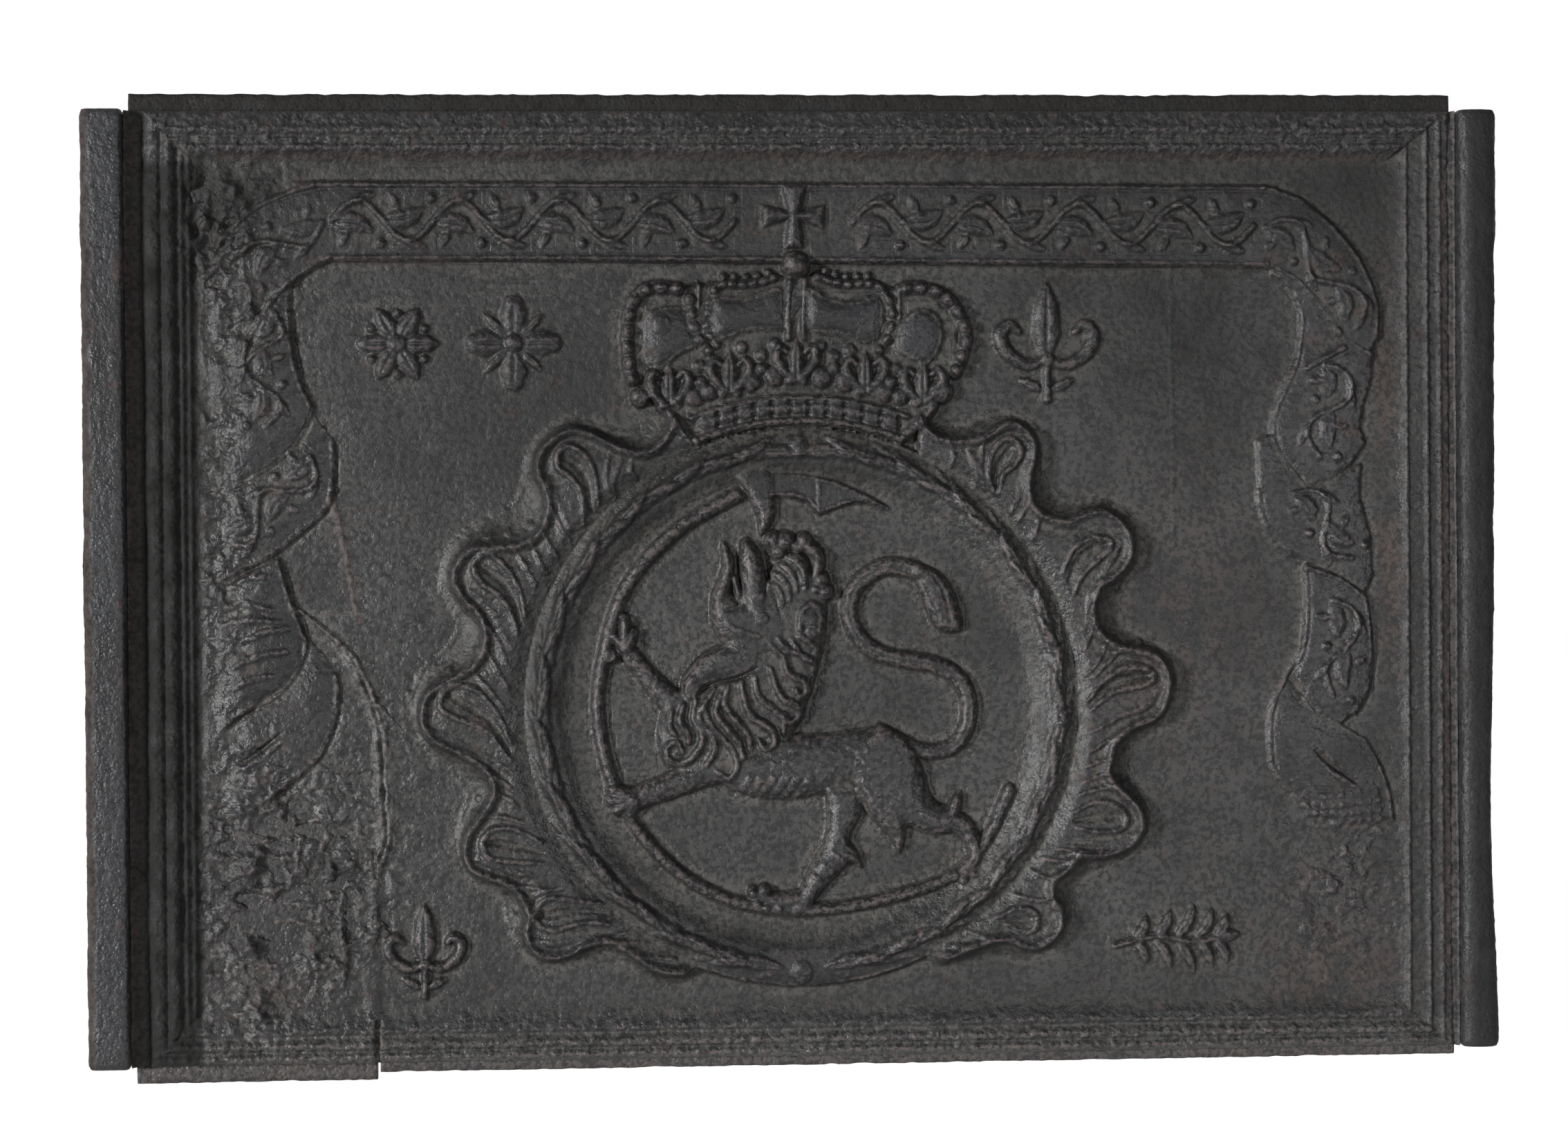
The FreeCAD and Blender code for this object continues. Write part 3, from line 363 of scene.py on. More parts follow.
for x, low, high in RUNS_OF_RUST:
    ridge(None, [(x, low), (x + 2, (low + high) / 2), (x - 1, high)], [3, 5, 4], 1.8)
PITS = [(-352, 84, 7), (-338, 100, 6), (-366, 122, 8), (-320, 128, 6), (-372, 92, 6), (-346, 142, 5)]
for x, z, size in PITS:
    button(None, x, z, size, -2.6)
ridge(None, [(250, 345), (250, 440), (249, 535)], 2.5, 0.5)
ridge(None, [(205, 52), (205, 95), (204, 128)], 2.5, 0.6)
print("strands of the thread:", len(STRANDS), "pits:", len(PITS))

# %% [markdown]
# Between each edge roll and the frame lies a gutter. On the left a rusty bank slopes from the roll into
# it. On the right the foot of the roll comes so near the frame that only a slit is left.

# %% Gutters beside the rolls
LEFT_GUTTER, BANK_WIDE, BANK_HIGH = -433, 8, 5.5
RIGHT_SLIT, FOOT_HIGH = 438, 5.0
bank = np.clip((LEFT_GUTTER - mesh_x) / BANK_WIDE, 0, 1)
height += (BANK_HIGH + 1.2 * lumps(9, 46)) * bank ** 1.4
rusty = np.maximum(rusty, 0.7 * np.clip(bank * 3, 0, 1))
height += FOOT_HIGH * np.clip((mesh_x - RIGHT_SLIT) / 1.5, 0, 1)
under = {"field_panel": height.copy()}
print("ground swells by", round(float(np.ptp(height)), 1), "mm")

# %% [markdown]
# The moulded frame is a planed section run round the field: beads and fine quirks, then a slope to the
# field. The four sides differ a little in width, so the section of each is given by distance from its
# outer edge. Where two sides meet, the one that is relatively nearer wins, and that draws the mitre by
# itself.

# %% Moulded frame
FRAME_LEFT, FRAME_RIGHT, FRAME_BOTTOM, FRAME_TOP = -430, 437, 12, 639
SPLIT_X = -281
SECTIONS = {
    "left_moulding": (mesh_x - FRAME_LEFT, 36, [
        (0, 0.4), (2.5, 2.4), (5, 4.4), (8, 5.0), (10.5, 4.8), (12.5, 2.9), (14.5, 4.9), (17.5, 6.0),
        (20.5, 5.2), (22.6, 3.0), (24, 2.6), (25.6, 4.2), (27.2, 2.6), (28.8, 1.9), (30.6, 3.2),
        (32.4, 1.4), (34.4, 0.5), (36, 0)]),
    "right_moulding": (FRAME_RIGHT - mesh_x, 46, [
        (0, 4.2), (2, 5.0), (5.6, 5.2), (7.2, 6.9), (8.8, 5.0), (11.5, 4.5), (14.2, 4.8), (15.8, 6.8),
        (17.6, 4.6), (21, 3.9), (25, 3.2), (27.6, 3.3), (29.2, 5.0), (31, 2.9), (35, 1.3), (40, 0.4),
        (46, 0)]),
    "top_moulding": (FRAME_TOP - mesh_z, 36, [
        (0, 1.5), (1.5, 3.6), (5, 4.6), (9, 5.4), (12, 6.8), (15, 6.0), (17, 4.6), (19, 5.6), (21, 4.6),
        (23.5, 6.0), (26, 5.2), (29, 3.0), (32.5, 1.0), (36, 0)]),
    "bottom_moulding": (mesh_z - FRAME_BOTTOM, 38, [
        (0, 2.0), (2, 5.0), (4.5, 6.8), (7, 5.2), (8.5, 4.4), (10.5, 6.4), (13, 6.8), (15.5, 4.8),
        (18, 3.4), (21, 4.4), (24, 3.6), (28, 2.0), (33, 0.7), (38, 0)]),
}
shares = {side: gap / width for side, (gap, width, _) in SECTIONS.items()}
nearest_share = np.minimum.reduce(list(shares.values()))
WEAR = {"top_moulding": 1.0, "bottom_moulding": 0.9, "left_moulding": 0.7, "right_moulding": 0.5}
worn = 0.5 + 0.5 * lumps(40, 7)
for side, (gap, width, section) in SECTIONS.items():
    line = flow(section, steps=6)
    mine = (shares[side] <= nearest_share) & (gap >= 0) & (gap <= width)
    mine &= (mesh_x >= FRAME_LEFT) & (mesh_x <= FRAME_RIGHT)
    lift = np.interp(gap, line[:, 0], line[:, 1])
    crest = np.clip(lift / 6, 0, 1)
    rough = WEAR[side]
    crumbs = 0.5 * lumps(5.2, 8) + 0.5 * lumps(2.9, 9) + 0.3 * lumps(2.0, 47)
    lift = lift + crest * rough * crumbs * (0.5 + 0.8 * worn)
    height[mine] = under["field_panel"][mine] * np.clip(1 - crest[mine] * 0.6, 0, 1) + lift[mine]
    pitting[mine] = np.maximum(pitting[mine], rough * 0.8 * crest[mine])
    if side == "bottom_moulding":
        mark("bottom_moulding_left", ALL, ALL, mine & (mesh_x < SPLIT_X))
        mark("bottom_moulding_right", ALL, ALL, mine & (mesh_x >= SPLIT_X))
    else:
        mark(side, ALL, ALL, mine)
height[(np.abs(mesh_x - SPLIT_X) < 1.6) & (mesh_z < 40)] -= 3.5
# Painted light: the strip along the bottom is painted paler.
pale_and_lit = np.where((mesh_z < 30) & (mesh_x > FRAME_LEFT), np.maximum(pale_and_lit, 0.55), pale_and_lit)
bare_ground = height.copy()
tinge(rusty, [(-380, 609), (-200, 610), (0, 610), (200, 609), (390, 608)], 5, 0.5)
tinge(rusty, [(433, 70), (433, 320), (433, 590)], 6, 0.5)
print("moulded sides:", list(SECTIONS))

# %% [markdown]
# The banner is a ribbon that runs across the top and falls down both sides in folds. Each run has a low
# edge and a cushioned back. The runs overlap, and a turned-over stretch lies lower than the one in
# front of it, which is what makes a fold read. The corners are drawn from the picture.

# %% Banner runs
RIBBON, RIBBON_SWELL, RIBBON_RIM = 2.4, 2.2, 2.4


def ribbon_run(piece, outline, level):
    """A run of ribbon: a low edge and a cushioned back."""
    line = np.array(outline + outline[:1], float)
    pad(piece, None, level, RIBBON_RIM, closed_line=line)
    rows, cols = reach(line, 2)
    gx, gz = mesh_x[rows, cols], mesh_z[rows, cols]
    gap, _ = distance(line, gx, gz)
    full = np.clip(np.where(inside(line, gx, gz), gap, 0) / 18, 0, 1)
    cushion = level * np.clip(gap / 2, 0, 1) + RIBBON_SWELL * np.sin(full * math.pi / 2)
    now = height[rows, cols]
    height[rows, cols] = np.where(full > 0, np.maximum(now, cushion), now)


print("ribbon at its edge and its back:", RIBBON, RIBBON + RIBBON_SWELL, "mm")

# %% Banner outlines
LEFT_TAIL = [
    (-383, 324), (-364, 336), (-343, 346), (-336, 320), (-327, 294), (-330, 276), (-340, 262),
    (-360, 248), (-384, 230), (-392, 276)]
LEFT_LOBE = [
    (-327, 296), (-314, 284), (-306, 268), (-306, 250), (-311, 230), (-320, 213), (-334, 201),
    (-352, 186), (-370, 172), (-384, 176), (-388, 228), (-360, 246), (-340, 260), (-330, 274)]
RIGHT_TAIL = [
    (338, 340), (360, 330), (379, 318), (383, 300), (384, 277), (381, 252), (372, 236), (362, 228),
    (347, 236), (338, 248), (330, 262), (336, 280), (339, 308)]
RIGHT_LOBE = [
    (326, 262), (338, 247), (347, 235), (365, 225), (380, 215), (389, 200), (396, 180), (397, 164),
    (372, 160), (346, 167), (330, 180), (318, 197), (314, 222), (316, 242)]
LEFT_UPPER_FOLD = [
    (-335, 528), (-350, 516), (-364, 492), (-390, 480), (-391, 416), (-384, 389), (-366, 397),
    (-348, 407), (-335, 418), (-326, 432), (-321, 445), (-329, 464), (-333, 482), (-335, 504)]
LEFT_LOWER_FOLD = [
    (-321, 445), (-313, 431), (-307, 420), (-308, 388), (-313, 377), (-331, 361), (-348, 348),
    (-373, 335), (-387, 326), (-388, 390), (-366, 396), (-348, 406), (-335, 417), (-326, 431)]
RIGHT_UPPER_FOLD = [
    (317, 532), (344, 528), (366, 490), (386, 478), (385, 460), (380, 445), (377, 428), (381, 418),
    (372, 404), (358, 392), (342, 388), (324, 410), (317, 425), (320, 442), (327, 457), (334, 475),
    (337, 495), (336, 507), (330, 520)]
RIGHT_LOWER_FOLD = [
    (306, 420), (317, 424), (324, 410), (342, 387), (360, 396), (378, 404), (377, 380), (384, 355),
    (385, 327), (379, 313), (361, 326), (342, 334), (325, 345), (312, 363), (307, 385)]
LEFT_TURN = [
    (-280, 541), (-280, 593), (-318, 592), (-337, 586), (-354, 578), (-370, 566), (-384, 550),
    (-392, 520), (-394, 484), (-386, 460), (-367, 466), (-362, 487), (-353, 503), (-341, 520),
    (-325, 533), (-308, 541)]
RIGHT_TURN = [
    (280, 537), (280, 589), (314, 589), (337, 581), (360, 563), (377, 542), (385, 525), (390, 508),
    (389, 488), (384, 475), (374, 480), (366, 487), (355, 502), (342, 517), (330, 527), (315, 535)]
print("corners of the two turns:", len(LEFT_TURN), len(RIGHT_TURN))

# %% Laying the ribbon
RIBBON_RUNS = [
    ("banner_left_tail", LEFT_LOBE, -0.6), ("banner_left_tail", LEFT_TAIL, 0.8),
    ("banner_right_tail", RIGHT_LOBE, -0.6), ("banner_right_tail", RIGHT_TAIL, 0.8),
    ("banner_left_fold", LEFT_LOWER_FOLD, -0.6), ("banner_left_fold", LEFT_UPPER_FOLD, 0.8),
    ("banner_right_fold", RIGHT_LOWER_FOLD, -0.6), ("banner_right_fold", RIGHT_UPPER_FOLD, 0.4),
    ("banner_left_turn", LEFT_TURN, 0.4), ("banner_right_turn", RIGHT_TURN, 1.0)]
for piece, outline, step_up in RIBBON_RUNS:
    ribbon_run(piece, outline, RIBBON + step_up)
TUCKS = [(-318, 426, 13, 16, 2.6), (-318, 284, 10, 14, 2.2), (330, 252, 9, 12, 1.8), (350, 484, 12, 10, 1.6)]
height -= patches(TUCKS)
BAND = [(-334, 593), (-316, 541), (-160, 540), (0, 539), (160, 537), (312, 536), (322, 589), (0, 591)]
pad("banner_top_band", None, RIBBON + 1.2, 2.6, closed_line=np.array(BAND + BAND[:1], float))
print("ribbon runs:", len(RIBBON_RUNS) + 1)

# %% [markdown]
# A fine raised cord follows the ribbon's edges, with a shallow shadow line on its lower side. The tails
# end in ragged ribs and knobs, for there the iron has begun to crumble.

# %% Cords and ragged ends
EDGE_CORDS = [
    [(-308, 542), (-160, 541.5), (0, 540), (160, 538), (314, 536)], [(-318, 590.5), (0, 590), (312, 588)],
    [(-318, 590), (-337, 585), (-354, 577), (-368, 566), (-383, 549), (-391, 518), (-392, 482)],
    [(-308, 543), (-325, 533), (-341, 521), (-353, 504), (-361, 490), (-365, 475)],
    [(-335, 526), (-335, 504), (-333, 482), (-329, 464), (-322, 447)],
    [(-321, 445), (-326, 432), (-335, 418), (-348, 407), (-366, 396), (-385, 388)],
    [(-308, 390), (-313, 377), (-331, 361), (-348, 348), (-372, 335), (-386, 326)],
    [(-313, 431), (-307, 420), (-308, 390)],
    [(-343, 344), (-336, 319), (-327, 294), (-328, 282), (-335, 267), (-348, 254), (-366, 245), (-386, 228)],
    [(-306, 268), (-306, 250), (-311, 230), (-320, 213), (-334, 201), (-352, 187)],
    [(312, 588), (337, 580), (359, 562), (376, 541), (384, 524), (389, 508), (388, 488)],
    [(314, 536), (330, 528), (342, 518), (355, 503), (366, 488), (374, 481), (385, 475)],
    [(340, 467), (352, 474), (366, 481)],
    [(318, 531), (330, 520), (336, 507), (337, 495), (334, 475), (327, 457), (320, 442), (317, 425),
     (324, 410), (335, 395), (343, 387)],
    [(307, 385), (312, 363), (325, 345), (341, 333), (361, 326), (379, 313)],
    [(338, 333), (339, 308), (336, 279), (326, 262), (316, 242), (314, 222), (317, 198), (330, 181),
     (345, 168)],
    [(338, 247), (347, 235), (365, 225), (380, 215), (389, 200), (395, 180), (397, 165)],
    [(380, 312), (384, 277), (381, 252), (372, 236)],
]
for cord in EDGE_CORDS:
    ridge(None, cord, 4.0, 2.0)
    groove([(x + 2.4, z - 2.4) for x, z in cord], 2.6, 0.9)
RAGGED_RIBS = [
    ((-380, 327), (-350, 333)), ((-382, 314), (-347, 311)), ((-378, 302), (-343, 303)),
    ((-370, 288), (-337, 299)), ((-376, 272), (-338, 284)), ((-380, 256), (-348, 268))]
for foot, tip in RAGGED_RIBS:
    ridge(None, [foot, ((foot[0] + tip[0]) / 2, (foot[1] + tip[1]) / 2 + 3), tip], [3, 6, 4], 1.8)
groove([(-372, 209), (-356, 219), (-343, 230)], [2, 5, 2], 3.0)
ridge(None, [(-374, 204), (-357, 213), (-342, 225)], [2, 5, 3], 1.6)
groove([(344, 212), (356, 201), (372, 190)], [2, 5, 2], 2.6)
ridge(None, [(346, 206), (358, 195), (374, 185)], [2, 5, 2], 1.6)
for x in range(-374, -334, 7):
    for z in range(180, 212, 7):
        button(None, x + 3 * math.sin(z), z + 2 * math.sin(x), 3.2, 1.2)
for x in range(338, 392, 6):
    for z in range(164, 184, 6):
        button(None, x + 2 * math.sin(z), z + 2 * math.sin(x), 3.0, 1.0)
tinge(rusty, [(-322, 541), (-270, 540), (-232, 540)], 5, 0.7)
tinge(rusty, [(232, 537), (280, 536), (312, 535)], 4, 0.4)
under["banner_top_band"] = height.copy()
band_cells = owner == names.index("banner_top_band")
print("cords:", len(EDGE_CORDS), "ragged ribs:", len(RAGGED_RIBS))

# %% [markdown]
# A running vine fills the ribbon: a stem that waves along it, with leaves and a berry in every bend. It
# is drawn with the same two strokes as the rest, a leaf with a sunk midrib and a thin ridge.

# %% Vine on the ribbon
def vine(piece, path, pitch, sway, rise):
    """A stem that waves along a path, with a leaf and a berry in every bend."""
    line = flow(path)
    steps = np.diff(line, axis=0)
    run = np.concatenate([[0], np.cumsum(np.hypot(*steps.T))])
    bends = max(round(run[-1] / pitch), 1)
    bend = run[-1] / bends

    def at(place, off):
        """The point that far along the path and that far to its left."""
        k = min(int(np.searchsorted(run, place, side="right")) - 1, len(steps) - 1)
        ahead = steps[k] / max(np.hypot(*steps[k]), 1e-6)
        x, z = np.interp(place, run, line[:, 0]), np.interp(place, run, line[:, 1])
        return (float(x - ahead[1] * off), float(z + ahead[0] * off))

    stem = [at(bend * k / 4, sway * math.sin(math.pi * k / 4)) for k in range(4 * bends + 1)]
    ridge(piece, stem, sway * 0.36, rise * 0.8)
    for k in range(bends):
        side = sway * (1 if k % 2 else -1)
        foot, tip = at(bend * (k + 0.06), side * 0.1), at(bend * (k + 0.80), side * 0.62)
        leaf(piece, foot, tip, sway * 1.15, rise, -0.25 * side)
        foot, tip = at(bend * (k + 0.40), -side * 1.0), at(bend * (k + 0.86), -side * 1.35)
        leaf(piece, foot, tip, sway * 0.55, rise * 0.8)
        foot, tip = at(bend * (k + 0.30), side * 0.6), at(bend * (k + 0.14), side * 1.35)
        leaf(piece, foot, tip, sway * 0.5, rise * 0.8)
        button(piece, *at(bend * (k + 0.95), side * 1.15), sway * 0.26, rise)


VINE_PITCH = 34.0
vine("banner_leaf_run", [(-306, 567), (-170, 566.5), (-42, 566)], VINE_PITCH, 13, 3.6)
vine("banner_leaf_run", [(36, 565), (170, 564), (304, 562)], VINE_PITCH, 13, 3.6)
FALLING_VINES = [
    [(-312, 565), (-334, 557), (-353, 542), (-367, 522), (-375, 498)],
    [(-346, 508), (-352, 484), (-352, 458), (-350, 432)],
    [(-322, 412), (-334, 392), (-354, 374), (-378, 356)],
    [(312, 561), (332, 553), (350, 538), (365, 517), (374, 494)],
    [(352, 470), (360, 450), (352, 430), (348, 408)],
    [(332, 384), (346, 372), (358, 356), (370, 340)],
    [(356, 312), (364, 292), (364, 270), (356, 248)]]
for path in FALLING_VINES:
    vine(None, path, 28.0, 11, 2.6)
print("vines:", len(FALLING_VINES) + 2, "pitch on the band:", VINE_PITCH, "mm")

# %% [markdown]
# The left margin has rusted so far that the ribbon is lost there. The carving is laid first and then
# eaten away, because a lump that breaks through a fold looks right only where the fold was.

# %% Worn left margin
eaten = corroded * np.clip((-325 - mesh_x) / 30, 0, 1)
height += 0.9 * eaten * np.clip(scabs, -3.0, 3.5)
lost = np.clip((-364 - mesh_x) / 20 + 0.35 * lumps(12, 51), 0, 1) * np.clip((mesh_x + 398) / 8, 0, 1)
lost *= np.clip((560 - mesh_z) / 20, 0, 1)
height += lost * (bare_ground + 0.9 + 0.25 * np.clip(scabs, -2.0, 2.5) - height)
print("points of the lattice that are lost:", int((lost > 0.5).sum()))

# %% [markdown]
# The medallion is turned work: a flat ground, a hollow that rises to a rim, and the rounded roll of a
# wreath. Its height depends on the distance from the centre alone, so it is one curve read off by
# radius.

# %% Medallion ground and wreath roll
CENTRE = (0.0, 244.0)
GROUND = 1.5
DISH_EDGE, WREATH_MIDDLE, WREATH_EDGE = 163.5, 172.5, 185.5
radius = np.hypot(mesh_x - CENTRE[0], mesh_z - CENTRE[1])
TURNED = flow([
    (0, 1.5), (60, 1.5), (120, 1.5), (138, 1.7), (148, 2.3), (154, 3.6), (158.5, 6.0), (162, 8.2),
    (166, 9.0), (171, 8.9), (176, 8.2), (180, 6.8), (184, 4.8), (186, 3.6)], steps=6)
turned = np.interp(radius, TURNED[:, 0], TURNED[:, 1])
disc = radius < WREATH_EDGE
height[disc] = turned[disc] + under["field_panel"][disc] * 0.35
mark("medallion_dish", ALL, ALL, radius < DISH_EDGE)
mark("wreath_left_branch", ALL, ALL, (radius >= DISH_EDGE) & disc & (mesh_x < 0))
mark("wreath_right_branch", ALL, ALL, (radius >= DISH_EDGE) & disc & (mesh_x >= 0))
print("dish across:", 2 * DISH_EDGE, "wreath across:", 2 * WREATH_EDGE, "mm")

# %% [markdown]
# Two rows of laurel leaves overlap along the roll, one leaning outwards and one inwards, from the
# bottom to the top. A single leaf could be copied by an array along a curve. Here each is a stroke, so
# that it melts into the roll.

# %% Laurel leaves
LEAF_STEPS, LEAF_TURN, FIRST_LEAF = 12, 14.0, -85
LEAF_ROWS = [(0.0, 7.0, 3.0), (7.0, -5.5, -2.2)]


def on_branch(side, angle, gap):
    """A point of the left (-1) or right (1) branch, by angle and distance from the medallion's centre."""
    return around(CENTRE, 90 - side * (90 - angle), gap)


for side in (-1, 1):
    for step in range(LEAF_STEPS):
        angle = FIRST_LEAF + step * LEAF_TURN
        for start, spread, bow in LEAF_ROWS:
            foot = on_branch(side, angle + start, WREATH_MIDDLE)
            tip = on_branch(side, angle + start + 15.5, 173.0 + spread)
            leaf(None, foot, tip, 11.0, 3.9, side * bow)
            root = on_branch(side, angle + start + 1.0, WREATH_MIDDLE + spread * 0.6)
            barb = on_branch(side, angle + start + 5.0, WREATH_MIDDLE + spread * 1.25)
            ridge(None, [root, barb], [2, 4, 2], 1.5)
    stem = [on_branch(side, a, 185.2) for a in range(-78, 84, 9)]
    ridge(None, stem, 2.8, 1.5)
button("wreath_top_boss", -1.5, 415.5, 11, 12.5, 0.0)
button("wreath_bottom_boss", -1, 70.5, 11, 12.0, 0.0)
for angle in (97, 83):
    tip = around(CENTRE, angle + (angle - 90) * 1.6, 176)
    leaf(None, around(CENTRE, angle, 174), tip, 11, 4.0, 0.0, 6.0)
# Painted highlight: the lit right half of the wreath's inner lip is painted paler.
lit_lip = np.exp(-((radius - 165) / 4) ** 2) * np.clip(mesh_x / 120, 0, 1)
pale_and_lit = np.maximum(pale_and_lit, 0.4 * lit_lip)
under["medallion_dish"] = height.copy()
dish_cells = owner == names.index("medallion_dish")
print("laurel leaves:", 2 * LEAF_STEPS * len(LEAF_ROWS))

# %% [markdown]
# A frill of acanthus lies round the wreath. Its edge rolls over in one continuous wave from lobe to
# lobe. Two lines are drawn: the foot, where the leaf leaves the field, and the crest, where its lip
# turns over. Between them stands a steep wall. Behind the lip runs a channel, and then the leaf swells
# and falls to the wreath.

# %% Acanthus lines
FRILL_FOOT = {
    "left": [
        (-86, 442), (-99, 433), (-108, 426), (-123, 427), (-137, 432), (-152, 435), (-164, 431),
        (-178, 416), (-182, 399), (-186, 384), (-195, 375), (-214, 367), (-229, 356), (-235, 343),
        (-237, 328), (-231, 313), (-226, 300), (-234, 285), (-249, 272), (-256, 255), (-255, 236),
        (-246, 217), (-234, 207), (-225, 196), (-221, 186), (-225, 174), (-227, 157), (-223, 141),
        (-211, 126), (-198, 116), (-195, 102), (-188, 87), (-175, 77), (-156, 77), (-142, 82),
        (-127, 80), (-114, 72), (-99, 62), (-83, 61), (-70, 66)],
    "right": [
        (82, 441), (91, 432), (105, 430), (121, 436), (138, 439), (154, 432), (163, 418), (164, 402),
        (169, 387), (182, 379), (197, 380), (212, 376), (226, 365), (230, 350), (226, 335), (217, 323),
        (213, 311), (217, 297), (232, 288), (246, 279), (253, 266), (253, 248), (242, 232), (225, 221),
        (219, 207), (224, 193), (234, 176), (235, 160), (226, 146), (210, 135), (192, 128), (184, 115),
        (182, 98), (175, 84), (160, 76), (144, 75), (127, 74), (108, 72), (88, 67)],
}
FRILL_CREST = {
    "left": [
        (-82, 438), (-86, 427), (-95, 416), (-106, 413), (-120, 417), (-132, 423), (-143, 428),
        (-153, 428), (-164, 422), (-172, 411), (-173, 400), (-168, 390), (-166, 377), (-170, 364),
        (-181, 354), (-200, 351), (-217, 350), (-227, 339), (-228, 328), (-221, 316), (-212, 307),
        (-208, 295), (-210, 282), (-219, 271), (-235, 263), (-246, 255), (-250, 244), (-249, 233),
        (-240, 223), (-223, 215), (-210, 206), (-203, 194), (-206, 183), (-214, 172), (-221, 162),
        (-223, 149), (-219, 139), (-208, 134), (-196, 130), (-187, 122), (-181, 109), (-183, 97),
        (-179, 86), (-168, 80), (-155, 82), (-143, 88), (-128, 90), (-112, 81), (-96, 71), (-79, 69)],
    "right": [
        (78, 440), (84, 428), (94, 421), (108, 420), (123, 422), (135, 430), (146, 430), (155, 420),
        (156, 409), (153, 396), (153, 381), (161, 370), (178, 366), (190, 371), (203, 372), (214, 364),
        (220, 353), (219, 340), (210, 329), (199, 322), (194, 309), (197, 294), (208, 284), (222, 280),
        (235, 277), (243, 268), (245, 255), (238, 236), (219, 227), (208, 217), (206, 209), (204, 197),
        (212, 187), (223, 176), (227, 164), (221, 152), (208, 145), (194, 143), (183, 143), (177, 135),
        (167, 127), (166, 117), (171, 107), (171, 95), (160, 84), (148, 83), (137, 88), (125, 87),
        (110, 82), (95, 76)],
}
print("points of foot and crest:", [len(line) for line in (*FRILL_FOOT.values(), *FRILL_CREST.values())])

# %% Acanthus shoulders
CREST_HIGH, FRILL_ROOT, LOBES = 12.0, 184.5, 5
walls = np.zeros(height.shape)
NOTCHES = {"left": [116, 147, 168, 193, 213, 240], "right": [66, 39, 16, -9, -33, -60]}
bearing = np.degrees(np.arctan2(mesh_z - CENTRE[1], mesh_x - CENTRE[0]))
for side in FRILL_FOOT:
    foot_line, crest_line = flow(FRILL_FOOT[side], steps=5), flow(FRILL_CREST[side], steps=5)
    ends = (112, 248) if side == "left" else (68, -64)
    back = np.array(arc(CENTRE, FRILL_ROOT, ends[1], ends[0], 40))
    rows, cols = reach(foot_line, 3)
    gx, gz = mesh_x[rows, cols], mesh_z[rows, cols]
    clear = radius[rows, cols] > FRILL_ROOT
    within = inside(np.vstack([foot_line, back, foot_line[:1]]), gx, gz) & clear
    behind = inside(np.vstack([crest_line, back, crest_line[:1]]), gx, gz) & within
    to_foot, _ = distance(foot_line, gx, gz)
    to_crest, _ = distance(crest_line, gx, gz)
    share = to_foot / (to_foot + to_crest + 0.01)
    wall = CREST_HIGH * (0.35 * share + 0.65 * share ** 3)
    dip = np.clip(to_crest / 6.0, 0, 1)
    swell = np.clip((to_crest - 6.0) / 8, 0, 1)
    root = np.clip((radius[rows, cols] - FRILL_ROOT) / 9, 0, 1)
    hollow_leaf = (CREST_HIGH - 3.6 * dip * dip * (3 - 2 * dip) + 1.6 * swell) * (0.58 + 0.42 * root)
    lift = np.where(behind, hollow_leaf, wall) + 1.5 * np.exp(-(to_crest / 3.0) ** 2)
    height[rows, cols] = np.where(within, np.maximum(height[rows, cols], lift), height[rows, cols])
    steep = np.where(within & ~behind, np.clip(share * 3, 0, 1), 0)
    walls[rows, cols] = np.maximum(walls[rows, cols], steep)
    ridge(None, FRILL_FOOT[side][2:-2], 3.4, 0.7)
    tinge(pale_and_lit, FRILL_FOOT[side][2:-2], 4.0, 0.42)
    angle = bearing[rows, cols]
    angle = np.where((angle < -90) & (side == "left"), angle + 360, angle)
    way = 1 if side == "left" else -1
    for lobe in range(LOBES):
        first = -999 if lobe == 0 else NOTCHES[side][lobe] * way
        last = 999 if lobe == LOBES - 1 else NOTCHES[side][lobe + 1] * way
        mine = within & (angle * way >= first) & (angle * way < last)
        mark(f"acanthus_{side}_lobe_{lobe + 1}", rows, cols, mine)
print("acanthus lobes:", sum(name.startswith("acanthus") for name in names))

# %% [markdown]
# Inside each lobe a hairpin ridge goes round a teardrop eye, and flutes run down to the wreath. Little
# leaf tips break the roll where two lobes meet.

# %% Acanthus carving
HAIRPINS = [
    [(-133, 379), (-136, 401), (-144, 414), (-154, 418), (-160, 411), (-159, 403), (-151, 397),
     (-144, 386), (-143, 366)],
    [(-182, 306), (-185, 322), (-193, 337), (-204, 346), (-212, 345), (-215, 336), (-210, 328),
     (-199, 320), (-191, 308), (-187, 294)],
    [(-192, 222), (-199, 240), (-212, 256), (-226, 261), (-236, 256), (-238, 247), (-231, 241),
     (-208, 231), (-192, 211)],
    [(-172, 157), (-190, 166), (-204, 166), (-211, 158), (-208, 148), (-197, 145), (-170, 143)],
    [(-132, 116), (-155, 119), (-168, 120), (-176, 113), (-175, 103), (-164, 99), (-145, 104), (-128, 102)],
    [(130, 384), (125, 394), (126, 409), (133, 419), (142, 420), (147, 412), (143, 404), (135, 397),
     (131, 384)],
    [(174, 331), (180, 346), (191, 354), (203, 354), (206, 348), (197, 340), (186, 329), (182, 318)],
    [(190, 246), (201, 260), (216, 268), (230, 267), (234, 260), (222, 255), (208, 252), (192, 240)],
    [(180, 172), (194, 179), (207, 177), (215, 170), (213, 162), (200, 159), (182, 162)],
    [(128, 103), (141, 109), (152, 107), (155, 98), (148, 93), (134, 99)],
]
for pin in HAIRPINS:
    ridge(None, pin, [2.5, 4.0, 5.0, 5.4, 5.0, 4.0, 2.5], 3.0)
    legs = len(pin) // 2
    eye = [((a[0] + b[0]) / 2, (a[1] + b[1]) / 2) for a, b in zip(pin[:legs], pin[::-1])]
    groove(eye, [3.0, 6.0, 7.0, 5.0], 2.6)
